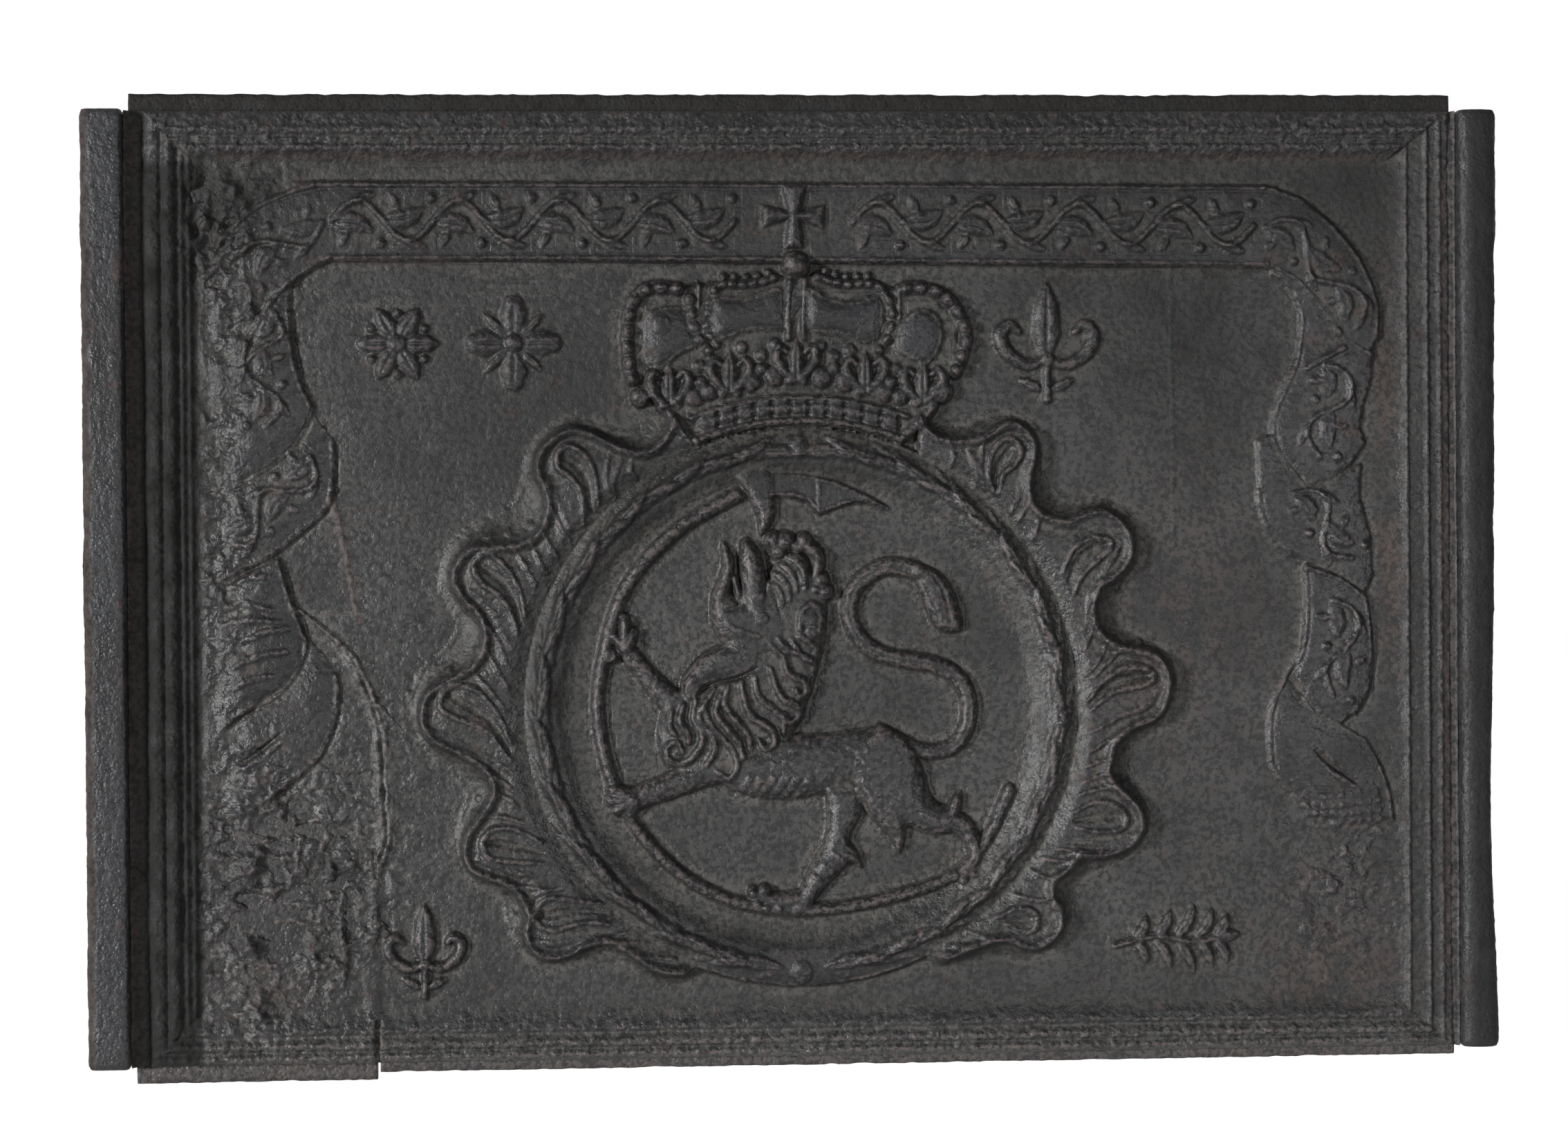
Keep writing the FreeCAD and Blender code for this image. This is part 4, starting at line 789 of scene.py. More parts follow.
BROAD_FLUTES = [
    [(-166, 398), (-160, 382), (-152, 362)], [(-219, 324), (-208, 315), (-199, 300), (-191, 284)],
    [(-244, 232), (-228, 224), (-206, 212), (-191, 203)], [(-214, 146), (-198, 139), (-176, 135)],
    [(-178, 92), (-162, 90), (-134, 96)], [(152, 412), (149, 400), (146, 386), (140, 372)],
    [(213, 352), (206, 338), (192, 316)], [(240, 258), (230, 243), (212, 236), (194, 226)],
    [(222, 158), (206, 151), (180, 152)], [(166, 100), (158, 88), (136, 93)],
    [(168, 362), (186, 363), (201, 366), (211, 358)], [(-118, 408), (-124, 394), (-122, 382)],
    [(112, 414), (117, 400), (116, 388)],
]
for flute in BROAD_FLUTES:
    ridge(None, flute, [4, 7, 6, 3], 1.7, power=1.0)
FLUTES = [
    [(-110, 410), (-112, 402), (-108, 396)], [(-126, 412), (-128, 396), (-125, 384)],
    [(-164, 378), (-158, 364), (-152, 355)], [(-170, 362), (-165, 352), (-160, 344)],
    [(-178, 355), (-173, 345), (-168, 334)], [(-190, 352), (-182, 340), (-175, 326)],
    [(-206, 300), (-199, 288), (-193, 272)], [(-207, 284), (-200, 270), (-193, 258)],
    [(-216, 270), (-206, 258), (-195, 244)], [(-207, 204), (-198, 198), (-190, 190)],
    [(-203, 190), (-194, 186), (-187, 180)], [(-206, 174), (-196, 174), (-184, 170)],
    [(-192, 130), (-180, 127), (-168, 126)], [(-184, 118), (-172, 124), (-158, 127)],
    [(-148, 88), (-134, 93), (-118, 96)], [(-130, 92), (-116, 90), (-104, 90)],
    [(-110, 82), (-98, 80), (-84, 78)], [(98, 420), (102, 410), (100, 402)],
    [(122, 420), (120, 404), (122, 388)], [(154, 386), (150, 376), (145, 366)],
    [(160, 372), (157, 362), (154, 354)], [(198, 320), (193, 306), (188, 294)],
    [(195, 302), (192, 290), (188, 280)], [(204, 286), (198, 274), (190, 264)],
    [(216, 282), (206, 274), (194, 262)], [(216, 226), (204, 220), (191, 212)],
    [(206, 208), (198, 206), (188, 202)], [(205, 198), (196, 196), (187, 192)],
    [(210, 188), (198, 188), (184, 184)], [(196, 144), (184, 146), (170, 148)],
    [(180, 140), (170, 140), (160, 142)], [(168, 128), (160, 130), (152, 134)],
    [(166, 116), (156, 114), (140, 118)], [(134, 88), (122, 90), (108, 94)],
    [(118, 84), (106, 84), (94, 85)],
]
for flute in FLUTES:
    ridge(None, flute, [2.0, 4.0, 2.4], 2.0)
WALL_KNOBS = [
    (-137, 428), (-178, 398), (-178, 366), (-193, 361), (-206, 359), (-232, 271), (-214, 284),
    (-214, 186), (-216, 176), (-198, 124), (-190, 112), (-188, 98), (-150, 80), (-136, 85), (-124, 84),
    (186, 374), (212, 320), (226, 284), (214, 212), (216, 190), (196, 136), (184, 140), (174, 124),
    (166, 110)]
for x, z in WALL_KNOBS:
    button(None, x, z, 2.8, 1.8)
print("flutes:", len(FLUTES) + len(BROAD_FLUTES), "hairpins:", len(HAIRPINS))

# %% [markdown]
# The crown stands on the wreath: a jewelled band, berries, four cushions of the cap and pearled arches.
# The cap is one pad; the cushions swell out of it and the arches lie over their seams.

# %% Crown cap and cushions
CAP = [
    (-66, 436), (-84, 443), (-100, 452), (-108, 466), (-112, 480), (-112, 498), (-106, 512), (-94, 520),
    (-76, 523), (-62, 525), (-50, 527), (-20, 530), (12, 530), (44, 527), (58, 523), (68, 520),
    (84, 518), (97, 510), (105, 498), (106, 482), (102, 464), (96, 450), (80, 443), (62, 437), (0, 446)]
pad("crown_cap", CAP, 4.6, 3.0)
CUSHIONS = [
    [(-101, 503), (-90, 509), (-77, 508), (-70, 495), (-66, 485), (-80, 478), (-93, 468), (-102, 482)],
    [(-58, 512), (-53, 516), (-32, 515), (-13, 522), (-10, 508), (-9, 495), (-32, 494), (-53, 488),
     (-59, 500)],
    [(6, 522), (19, 515), (34, 512), (53, 515), (56, 503), (52, 488), (42, 485), (29, 491), (6, 495)],
    [(70, 500), (80, 507), (90, 504), (95, 494), (93, 481), (84, 470), (74, 475), (65, 481), (66, 492)],
]
for cushion in CUSHIONS:
    pad(None, cushion, 10.0, 12.0)
    ridge(None, cushion + cushion[:2], 3.0, 1.7)
    tinge(pale_and_lit, cushion + cushion[:2], 3.6, 0.4)
button(None, -91, 497, 7, 1.8)
under["crown_cap"] = height.copy()
cap_cells = owner == names.index("crown_cap")
print("cap stands", tallest("crown_cap"), "mm high with", len(CUSHIONS), "cushions")

# %% [markdown]
# Pearled arches bind the cushions together, and berries and leafy tufts stand along the band. The
# pearls sit at an even pitch along a smooth line, as a goldsmith would set grains on a wire.

# %% Crown arches, pearls and berries
ARCHES = [
    ([(-110, 462), (-112, 470), (-113, 482), (-113, 493), (-112, 503), (-109, 513), (-102, 520),
      (-93, 522), (-80, 521)], 9.6, 4.3),
    ([(-72, 514), (-70, 503), (-68, 494), (-65, 487), (-60, 480)], 8.2, 3.7),
    ([(-60, 512), (-61, 495), (-54, 484)], 7.0, 2.6),
    ([(-56, 520), (-50, 524), (-32, 524), (-16, 528)], 6.4, 2.8),
    ([(13, 529), (29, 524), (50, 524), (58, 516)], 6.4, 2.8),
    ([(60, 513), (62, 500), (58, 487), (53, 480)], 7.6, 3.2),
    ([(71, 521), (82, 521), (93, 518), (102, 511), (108, 500), (111, 490), (109, 479),
      (104, 466)], 9.2, 4.2),
]
for arch, pitch, size in ARCHES:
    ridge("crown_arches", arch, size * 2.1, 2.6, 4.6)
    pearls("crown_arches", arch, pitch, size, size * 0.95)
for x in (-7, 3):
    ridge("crown_arches", [(x, 488), (x, 505), (x + 1, 526)], 5.0, 4.4, 4.6)
ridge("crown_arches", [(-66, 524), (-66, 506), (-62, 490)], 3.0, 3.0, 4.6)
ridge("crown_arches", [(66, 522), (67, 504), (63, 488)], 3.0, 3.0, 4.6)
pearls("crown_arches", [(-50, 530), (-34, 529), (-20, 532)], 6.5, 2.6, 2.6, 2.0)
pearls("crown_arches", [(18, 533), (32, 530), (46, 530)], 6.5, 2.6, 2.6, 2.0)
BERRIES = [
    (-70, 449, 6.4), (-60, 453, 6.0), (-32, 460, 6.8), (-17, 463, 7.0), (15, 462, 7.2), (30, 459, 6.8),
    (56, 452, 6.8), (67, 449, 5.8), (94, 453, 8), (-105, 450, 6.4), (-25, 468, 4.4), (23, 468, 4.4),
    (-65, 459, 4.4), (61, 459, 4.4)]
for x, z, size in BERRIES:
    button("crown_berries", x, z, size, 5.6, 4.6)
TUFTS = [(-46, 460), (-86, 452), (-2, 468), (44, 460), (82, 453)]
for x, z in TUFTS:
    leaf("crown_berries", (x, z - 8), (x, z + 20), 11, 6.0, 0.0, 4.6)
    for way in (-1, 1):
        curl = [(x + way * u, z + v) for u, v in ((2, -7), (9, 0), (13, 8), (10, 14), (6, 11))]
        ridge("crown_berries", curl, [6, 8, 8, 6, 4], 5.4, 4.6)
        button("crown_berries", x + way * 5, z - 8, 3.4, 4.0, 4.6)
SMALL_BERRIES = [
    (-25, 477), (23, 476), (-66, 470), (64, 468), (-97, 464), (-38, 482), (34, 480), (-16, 484), (14, 483)]
for x, z in SMALL_BERRIES:
    button("crown_berries", x, z, 4.4, 3.4)
print("pearled arches:", len(ARCHES), "berries:", len(BERRIES) + len(SMALL_BERRIES))

# %% [markdown]
# The band is bent to the wreath's own circle, with two rims and a row of jewels between them. The orb
# is one round button and the cross one flat pad with hollow-sided arms, for both are small and plain.

# %% Crown band, orb and cross
BAND_FOOT = 187
JEWELS = range(-60, 61, 12)


def over_wreath(x, lift):
    """A point on the arc round the wreath, that far above the crown's foot."""
    return x, CENTRE[1] + math.sqrt((BAND_FOOT + lift) ** 2 - x * x)


span = list(range(-68, 69, 8))
pad(None, [(-94, 450), (-78, 452), (-66, 446), (-62, 430), (-64, 414), (-76, 422), (-87, 436)], 5.4, 2.0)
pad(None, [(92, 446), (76, 450), (66, 446), (62, 430), (64, 416), (76, 424), (86, 434)], 5.4, 2.0)
band_line = [over_wreath(x, -1) for x in span] + [over_wreath(x * 1.06, 20) for x in reversed(span)]
pad("crown_band", None, 5.8, 2.5, closed_line=np.array(band_line + band_line[:1]))
ridge(None, [over_wreath(x, 2.6) for x in span], 5.6, 3.6)
ridge(None, [over_wreath(x * 1.05, 17.6) for x in span], 4.6, 3.2)
ridge(None, [over_wreath(x, 6.8) for x in span], 2.2, 1.4)
for x in JEWELS:
    ridge(None, [over_wreath(x - 3.2, 11.6), over_wreath(x + 3.2, 11.6)], 8.4, 3.4, power=0.35)
    groove([over_wreath(x + 6, 7.0), over_wreath(x + 6, 15.5)], 4.4, 2.4)
ridge("acanthus_left_lobe_1", [(-97, 450), (-86, 438), (-76, 427), (-68, 418)], [6, 9, 9, 6], 4.0)
ridge("acanthus_right_lobe_1", [(90, 443), (80, 433), (70, 424)], [6, 9, 6], 4.0)
CROSS = [
    (-24, 561), (-7, 567.0), (-9.0, 547.5), (4.0, 547.5), (2, 566.5), (17, 560), (18, 577), (2, 572.0),
    (6, 590), (-11, 590), (-7, 572.5), (-24, 577)]
pad("crown_cross", None, 8.4, 4.5, closed_line=np.array(CROSS + CROSS[:1], float))
ridge(None, [(-22, 569), (-3, 569.5), (16, 568.5)], [5, 2, 5], 0.8)
ridge(None, [(-3, 588), (-3, 569), (-3, 549)], [5, 2, 4], 0.8)
button("crown_orb", -2, 537, 9.6, 11.5, 1.5)
print("jewels on the band:", len(JEWELS), "orb stands", tallest("crown_orb"), "mm high")

# %% [markdown]
# The axe has a long shaft that bends round inside the rim, a socket and a thin curved blade. The shaft
# has a gabled section, so its ridge is drawn with a sharper crown than the lion's limbs.

# %% Axe
SHAFT = [
    (-42, 385), (-75, 367), (-100, 345), (-115, 325), (-123, 308), (-131, 278), (-135, 250),
    (-133, 225), (-127, 200), (-114, 171), (-95, 147), (-75, 130), (-50, 117), (-25, 111), (0, 109),
    (30, 111), (60, 117), (90, 126), (112, 140), (126, 160), (138, 187)]
ridge("axe_shaft", SHAFT, [12.5, 11, 10.5, 10, 9.5, 9.5, 9.5, 9.5, 10, 11], 7.0, GROUND, power=0.85)
BLADE = [
    (-19, 400), (2, 399), (24, 394), (44, 385), (62, 374), (50, 378), (36, 379), (22, 375), (12, 371),
    (4, 380), (-8, 383), (-19, 383)]
pad("axe_blade", None, 6.0, 2.5, closed_line=np.array(BLADE + BLADE[:1], float))
SOCKET = [
    (-42, 397), (-30, 402), (-18, 399), (-17, 384), (-17, 370), (-25, 358), (-28, 361), (-29, 370),
    (-35, 384)]
pad("axe_blade", SOCKET, 9.0, 7.0)
ridge("axe_blade", [(12, 397), (12.5, 372)], 3.0, 1.2)
ridge(None, [(-19, 385), (-6, 385), (6, 381), (12, 373)], 2.4, 1.6)
ridge(None, [(13, 373), (24, 377), (40, 381), (58, 375)], 2.4, 1.6)
ridge(None, [(-18, 398), (2, 397), (24, 392), (44, 383), (58, 375)], 2.4, 1.0)
print("shaft stands", tallest("axe_shaft"), "mm high, blade", tallest("axe_blade"), "mm")

# %% [markdown]
# The lion is the richest carving on the plate. It is laid in as a sculptor would: big masses first,
# then limbs, then the locks of the mane, and the small marks last. A solid body of metaballs would be
# quicker to block out, but a low relief is only as deep as a finger, so pads and ridges of chosen
# heights give more control.

# %% Lion tail and trunk
TAIL = [
    (52, 228), (66, 220), (80, 214), (94, 214), (105, 221), (111, 235), (110, 252), (101, 265),
    (86, 272), (66, 275), (48, 281), (37, 292), (32, 306), (35, 321), (46, 332), (60, 337), (76, 334)]
ridge("lion_tail", TAIL, [9, 9.5, 10.5, 11, 11, 11, 11, 11, 11.5, 12], 7.4, GROUND, power=0.45)
groove(TAIL, 2.4, 1.2)
TUFT_END = [
    (74, 338), (88, 335), (99, 325), (105, 309), (107, 294), (95, 293), (87, 300), (81, 313), (76, 326)]
pad("lion_tail", TUFT_END, 10.2, 7.0)
groove([(88, 330), (95, 318), (99, 300)], [2, 3, 2], 1.8)
groove([(82, 324), (88, 312), (92, 299)], [2, 3, 2], 1.6)
for x, z in ((92, 322), (97, 312), (100, 303), (90, 308)):
    button(None, x, z, 2.4, 1.0)
TORSO = [
    (-54, 212), (-30, 222), (-6, 226), (15, 226), (40, 229), (60, 229), (74, 214), (76, 198), (52, 186),
    (34, 189), (9, 185), (-15, 183), (-43, 188), (-58, 200)]
pad("lion_torso", TORSO, 12.4, 22.0)
print("tail stands", tallest("lion_tail"), "mm high, trunk", tallest("lion_torso"), "mm")

# %% Lion hind legs
HAUNCH = [
    (34, 206), (44, 224), (60, 227), (74, 215), (81, 200), (85, 186), (92, 178), (102, 177), (105, 167),
    (98, 159), (82, 159), (70, 164), (68, 154), (64, 145), (59, 157), (50, 166), (40, 177), (35, 190)]
pad("lion_rear_hind_leg", HAUNCH, 13.4, 20.0)
SHANK = [(98, 168), (108, 163), (114, 152), (115, 142), (108, 134)]
ridge("lion_rear_hind_leg", SHANK, [15, 13, 12, 12, 14], 8.4, GROUND, power=0.6)
ridge("lion_rear_hind_leg", [(99, 172), (102, 179), (105, 186)], [12, 9, 3], 8.0, GROUND)
ridge(None, [(40, 194), (46, 180), (54, 167), (63, 151)], [4, 7, 6, 2], 1.6)
HIND_LEG = [
    (17, 191), (37, 190), (39, 174), (33, 161), (31, 154), (36, 147), (40, 136), (32, 140), (24, 133),
    (13, 122), (4, 111), (-7, 111), (-1, 126), (7, 142), (13, 152), (16, 166), (16, 180)]
pad("lion_front_hind_leg", HIND_LEG, 10.6, 10.0)
for x, z in ((33, 150), (27, 141), (20, 134), (13, 127)):
    ridge(None, [(x - 8, z + 7), (x - 2, z + 2), (x + 3, z - 4)], [3, 5, 2], 1.6)
ridge("lion_front_hind_leg", [(2, 117), (-8, 116), (-20, 116), (-30, 120)], [13, 12, 11, 8], 7.6, GROUND)
for x, z in ((-30, 114), (-24, 111), (-16, 111), (-33, 121), (-26, 123)):
    button("lion_front_hind_leg", x, z, 4.4, 8.0, GROUND)
for x, z in ((101, 131), (107, 128), (114, 132)):
    button("lion_rear_hind_leg", x, z, 4.6, 8.6, GROUND)
print("haunch stands", tallest("lion_rear_hind_leg"), "mm high")

# %% Lion forelegs
LOWER_FORELEG = [(-40, 209), (-66, 201), (-92, 191), (-112, 184)]
ridge("lion_lower_foreleg", LOWER_FORELEG, [23, 20, 17, 15], 10.0, GROUND, power=0.55)
for tip in ((-126, 191), (-127, 184), (-123, 177), (-114, 176)):
    ridge("lion_lower_foreleg", [(-111, 184), tip], [13, 9], 10.4, GROUND)
RAISED_FORELEG = [(-78, 240), (-90, 252), (-104, 268), (-117, 284)]
ridge("lion_raised_foreleg", RAISED_FORELEG, [19, 16, 13, 12], 9.0, GROUND, power=0.55)
for tip in ((-124, 292), (-117, 304), (-111, 295)):
    ridge("lion_raised_foreleg", [(-116, 284), tip], [11, 7], 10.0, GROUND)
button("lion_raised_foreleg", -126, 279, 5.4, 9.8, GROUND)
button(None, -126, 279, 2.4, -2.4)
print("raised foreleg stands", tallest("lion_raised_foreleg"), "mm high")

# %% Lion coat
for x in range(-40, 6, 8):
    ridge("lion_torso", [(x + 5, 197), (x, 190), (x - 5, 183)], [6, 6, 2], 1.5)
hairs = np.random.default_rng(31)
tufts_set = 0
for x in np.arange(-20, 84, 7.0):
    for z in np.arange(166, 229, 7.0):
        spot_x, spot_z = x + hairs.uniform(-2.5, 2.5), z + hairs.uniform(-2.5, 2.5)
        row, col = np.searchsorted(zs, spot_z), np.searchsorted(xs, spot_x)
        if names[owner[row, col]] in ("lion_torso", "lion_rear_hind_leg") and height[row, col] > 7:
            button(None, spot_x, spot_z, 1.7, 0.7)
            tufts_set += 1
print("tufts of hair:", tufts_set)

# %% [markdown]
# The mane is a padded mass with curling locks over it. The head looks to the left, and a small crown
# sits behind it. A lock swells and thins along its line, and its height changes from one to the next,
# so that the locks overlap.

# %% Lion mane
MANE = [
    (-36, 286), (-52, 272), (-66, 262), (-82, 256), (-92, 244), (-96, 224), (-90, 206), (-74, 203),
    (-62, 197), (-46, 195), (-38, 210), (-27, 213), (-14, 216), (-2, 234), (5, 250), (10, 266),
    (15, 284), (17, 304), (16, 322), (8, 340), (-8, 348), (-22, 330), (-24, 300)]
pad("lion_mane", MANE, 10.4, 16.0)
TUFT = [
    (-30, 290), (-49, 287), (-63, 281), (-75, 270), (-80, 258), (-72, 250), (-65, 258), (-54, 263),
    (-42, 266), (-30, 272)]
pad("lion_mane", TUFT, 13.0, 10.0)
groove([(-70, 253), (-64, 257), (-54, 261), (-42, 264), (-30, 270)], [2, 4, 4, 4, 2], 3.2)
ridge("lion_mane", [(-72, 264), (-78, 257), (-73, 251), (-68, 256)], [4, 5, 3], 2.2)
LOCKS = [
    [(-58, 258), (-64, 243), (-57, 229), (-48, 219), (-43, 208), (-48, 198), (-56, 202)],
    [(-49, 259), (-51, 246), (-43, 235), (-36, 226), (-34, 217)],
    [(-40, 261), (-38, 249), (-33, 238), (-22, 231), (-18, 221), (-25, 217), (-29, 223)],
    [(-31, 264), (-29, 252), (-20, 244), (-13, 236), (-12, 226)],
    [(-21, 270), (-17, 258), (-12, 249), (-3, 246), (-1, 238), (-8, 234), (-12, 240)],
    [(-12, 279), (-9, 267), (0, 262), (4, 256), (-1, 251), (-4, 256)],
    [(-6, 289), (-1, 279), (7, 274), (8, 266)],
    [(-70, 250), (-72, 237), (-66, 226), (-70, 215), (-78, 208), (-88, 210), (-90, 218), (-83, 222),
     (-79, 216)],
    [(-78, 247), (-81, 236), (-76, 228), (-75, 221)], [(-86, 243), (-88, 233), (-83, 226)],
    [(-64, 250), (-68, 238), (-60, 226), (-58, 216), (-64, 206)],
    [(-54, 253), (-57, 241), (-49, 230), (-42, 221), (-39, 211)],
    [(-24, 294), (-20, 285), (-14, 279)], [(-16, 290), (-10, 283), (-4, 280)],
]
for order, lock in enumerate(LOCKS):
    ridge("lion_mane", lock, [3.4, 5.4, 6.0, 5.2, 3.6], 3.4 + 0.8 * (order % 3), power=0.8)
ridge("lion_mane", [(-1, 296), (0, 307), (7, 312), (14, 306), (13, 295)], 5.0, 3.4)
button("lion_mane", 7, 302, 6.5, 3.4)
button("lion_mane", 8, 294, 5.0, 2.4)
ridge("lion_mane", [(-1, 291), (5, 287), (10, 281), (6, 274)], [5, 6, 3], 3.0)
print("locks:", len(LOCKS), "mane stands", tallest("lion_mane"), "mm high")

# %% Lion head and its crown
FACE = [
    (-60, 306), (-58, 319), (-48, 321), (-40, 316), (-38, 330), (-30, 336), (-22, 330), (-16, 312),
    (-12, 290), (-26, 280), (-48, 284), (-57, 294)]
pad("lion_head", FACE, 12.6, 13.0)
BROW = [(-51, 352), (-48, 340), (-50, 329), (-54, 317), (-52, 304)]
ridge("lion_head", BROW, [4, 8, 9, 11, 14], 10.4, GROUND, power=0.6)
CHEEK = [(-36, 352), (-33, 342), (-31, 328), (-31, 315), (-26, 303)]
ridge("lion_head", CHEEK, [9, 15, 18, 18, 20], 12.6, GROUND, power=0.6)
ridge("lion_head", [(-44, 330), (-42, 321), (-39, 314)], [4, 6, 5], 9.0, GROUND)
groove([(-40, 316), (-44, 310), (-50, 309)], [2, 3, 2], 2.2)
groove([(-25, 347), (-23, 334), (-24, 320)], [2, 3, 2], 2.6)
ridge("lion_head", [(-38, 347), (-40, 337), (-38, 327)], [3, 4, 3], 1.6)
ridge("lion_head", [(-50, 300), (-40, 294), (-28, 291)], [4, 7, 4], 1.4)
button("lion_head", -27, 318, 3.4, 1.8)
button("lion_head", -37, 350, 3.0, 1.4)
WISPS = [
    [(-21, 341), (-12, 338), (-5, 330), (-3, 320)], [(-22, 334), (-15, 331), (-9, 324), (-8, 315)],
    [(-22, 327), (-17, 324), (-13, 318), (-13, 311)], [(-15, 346), (-5, 342), (2, 333), (3, 322)]]
for wisp in WISPS:
    ridge("lion_head", wisp, [3.5, 5.4, 5.0, 3.0], 2.6)
CROWN_KNOBS = [
    (-18, 355, 6), (-10, 354, 7), (-15, 347, 6), (13, 328, 6), (16, 320, 6), (10, 322, 4.5), (2, 354, 6)]
for x, z, size in CROWN_KNOBS:
    button("lion_head_crown", x, z, size, 10.4, GROUND)
CROWN_BOW = [(-4, 351), (5, 350), (11, 343), (10, 333), (5, 323)]
ridge("lion_head_crown", CROWN_BOW, [8, 11, 11, 9, 4], 10.6, GROUND)
ridge("lion_head_crown", [(-2, 347), (1, 337), (1, 326)], [6, 8, 4], 2.4)
groove([(-4, 347), (4, 344), (5, 333)], [1.5, 2.5, 1.5], 2.0)
print("head stands", tallest("lion_head"), "mm high, wisps:", len(WISPS))

# %% [markdown]
# The open field carries five small ornaments: a rosette, a quatrefoil, two fleurons and a sprig. All
# are sprays of the same pointed leaf, which keeps them in one hand.

# %% Ornaments on the open field
ROSETTE, QUATREFOIL, SEAT = (-264.4, 486), (-188.2, 486), 0.4
for turn in range(6):
    foot, tip = around(ROSETTE, turn * 60, 4), around(ROSETTE, turn * 60, 27)
    leaf("upper_left_rosette", foot, tip, 14, 4.6, 0.0, SEAT)
    button("upper_left_rosette", *around(ROSETTE, turn * 60 + 30, 20), 3.2, 3.4, SEAT)
button("upper_left_rosette", *ROSETTE, 7, 6.2, SEAT)
for turn in range(4):
    foot, tip = around(QUATREFOIL, turn * 90, 5), around(QUATREFOIL, turn * 90, 25)
    ridge("upper_left_quatrefoil", [foot, tip], [8, 15, 19, 14], 4.6, SEAT)
    groove([foot, tip], [2, 4, 2], 1.6)
    foot, tip = around(QUATREFOIL, turn * 90 + 45, 6), around(QUATREFOIL, turn * 90 + 45, 27)
    leaf("upper_left_quatrefoil", foot, tip, 7, 3.6, 0.0, SEAT)
button("upper_left_quatrefoil", *QUATREFOIL, 7, 6.0, SEAT)
print("rosette stands", tallest("upper_left_rosette"), "mm high")


# %% Fleurons and sprig
def fleuron(piece, x, foot, tall):
    """A three-leaved flower on a stem, drawn in shares of its height."""
    ridge(piece, [(x, foot), (x, foot + 0.36 * tall)], [0.09 * tall, 0.07 * tall], 4.2, SEAT)
    leaf(piece, (x, foot + 0.36 * tall), (x, foot + tall), 0.26 * tall, 5.0, 0.0, SEAT)
    for way in (-1, 1):
        curl = [(0.03, 0.33), (0.18, 0.30), (0.34, 0.40), (0.40, 0.55), (0.32, 0.64), (0.24, 0.58)]
        widths = [0.08 * tall, 0.12 * tall, 0.14 * tall, 0.12 * tall, 0.07 * tall]
        ridge(piece, [(x + way * u * tall, foot + v * tall) for u, v in curl], widths, 4.6, SEAT)
        root = (x + way * 0.04 * tall, foot + 0.08 * tall)
        leaf(piece, root, (x + way * 0.24 * tall, foot + 0.18 * tall), 0.1 * tall, 3.6, 0.0, SEAT)
    button(piece, x, foot + 0.34 * tall, 0.07 * tall, 5.6, SEAT)


fleuron("upper_right_fleuron", 165.5, 447, 78)
fleuron("lower_left_fleuron", -250, 56, 60)
SPRIG_X, SPRIG_Z = 250.0, 86.0
STALK = [(-41, -4), (-14, 2), (12, -2), (36, 2)]
ridge("lower_right_sprig", [(SPRIG_X + x, SPRIG_Z + z) for x, z in STALK], 4.4, 4.2, SEAT)
for shift in (-28, -14, 0, 14, 26):
    long = 22 - abs(shift) * 0.25
    for way in (-1, 1):
        foot = (SPRIG_X + shift, SPRIG_Z + way)
        tip = (foot[0] + long * 0.55, foot[1] + way * long)
        leaf("lower_right_sprig", foot, tip, 8.5, 4.2, way * -2.0, SEAT)
leaf("lower_right_sprig", (SPRIG_X + 30, SPRIG_Z + 1), (SPRIG_X + 43, SPRIG_Z + 3), 8, 4.0, 0.0, SEAT)
print("pieces on the face:", len(names))

# %% [markdown]
# Iron poured in sand softens every edge, and then rust and wear roughen it again. So the whole face is
# softened a little, and a fine grain is laid over it, coarser where it is corroded. What lies lower or
# higher than its surroundings is measured, because dust settles in hollows and crests get rubbed. The
# finish also uses it to paint shade into the creases and highlights onto small crests.

# %% Casting skin
height = 0.5 * height + 0.5 * blur(height, 2, 1)
grain = 0.16 * lumps(1.7, 21) + 0.20 * lumps(2.6, 22) + 0.18 * lumps(4.5, 23)
height += grain * (0.75 + 1.8 * pitting)
hollow = blur(height, 2, 7) - height
crease = blur(height, 2, 2) - height
print("deepest hollow", round(float(hollow.max()), 1), "highest crest", round(float(-hollow.min()), 1))

# %% [markdown]
# Fires have blackened patches here and there and the left frame. Painted shade darkens the upper part,
# the steep walls, the left gutter, the left half of the wreath, a band along the bottom slope and the
# top and bottom of the medallion's hollow. Handling has rubbed other places pale, and painted light
# makes the strip along the bottom, the lower right and the right half of the wreath paler. Such marks
# could be painted on a texture. Here they are soft patches on the same lattice as the heights, so they
# need no unwrapping and stay where they are when a piece is left out.

# %% Soot and painted shade
# Dark patches. Those at the top and bottom of the medallion's hollow and the band along the bottom slope are
# painted shade; the others are soot and pits.
SMOKED_AND_SHADED = [
    (262, 460, 55, 75, 0.4), (-215, 430, 70, 60, 0.3), (-20, 60, 160, 14, 0.25),
    (-372, 575, 40, 40, 0.5), (-318, 145, 8, 6.4, 0.8), (-345, 48, 10, 8, 0.8), (-361, 91, 9, 7.2, 0.8),
    (-308, 139, 6, 4.8, 0.8), (-372, 128, 8, 6.4, 0.8), (372, 592, 70, 45, 0.35),
    (0, 462, 110, 20, 0.3), (0, 401, 110, 12, 0.5), (0, 92, 60, 10, 0.22)]
drifts = np.clip(lumps(70, 41) + 0.6 * lumps(28, 42), 0, 1)
# Painted shade: darker towards the top, with drifts of soot over all.
soot_and_shade = 0.38 * np.clip((mesh_z - 420) / 150, 0, 1) + 0.25 * drifts
on_wreath = np.exp(-((radius - 176) / 9) ** 2)
# Painted shade on the steep walls and on the left half of the wreath.
soot_and_shade += patches(SMOKED_AND_SHADED) + 0.4 * walls + 0.5 * on_wreath * np.clip(-mesh_x / 120, 0, 1)
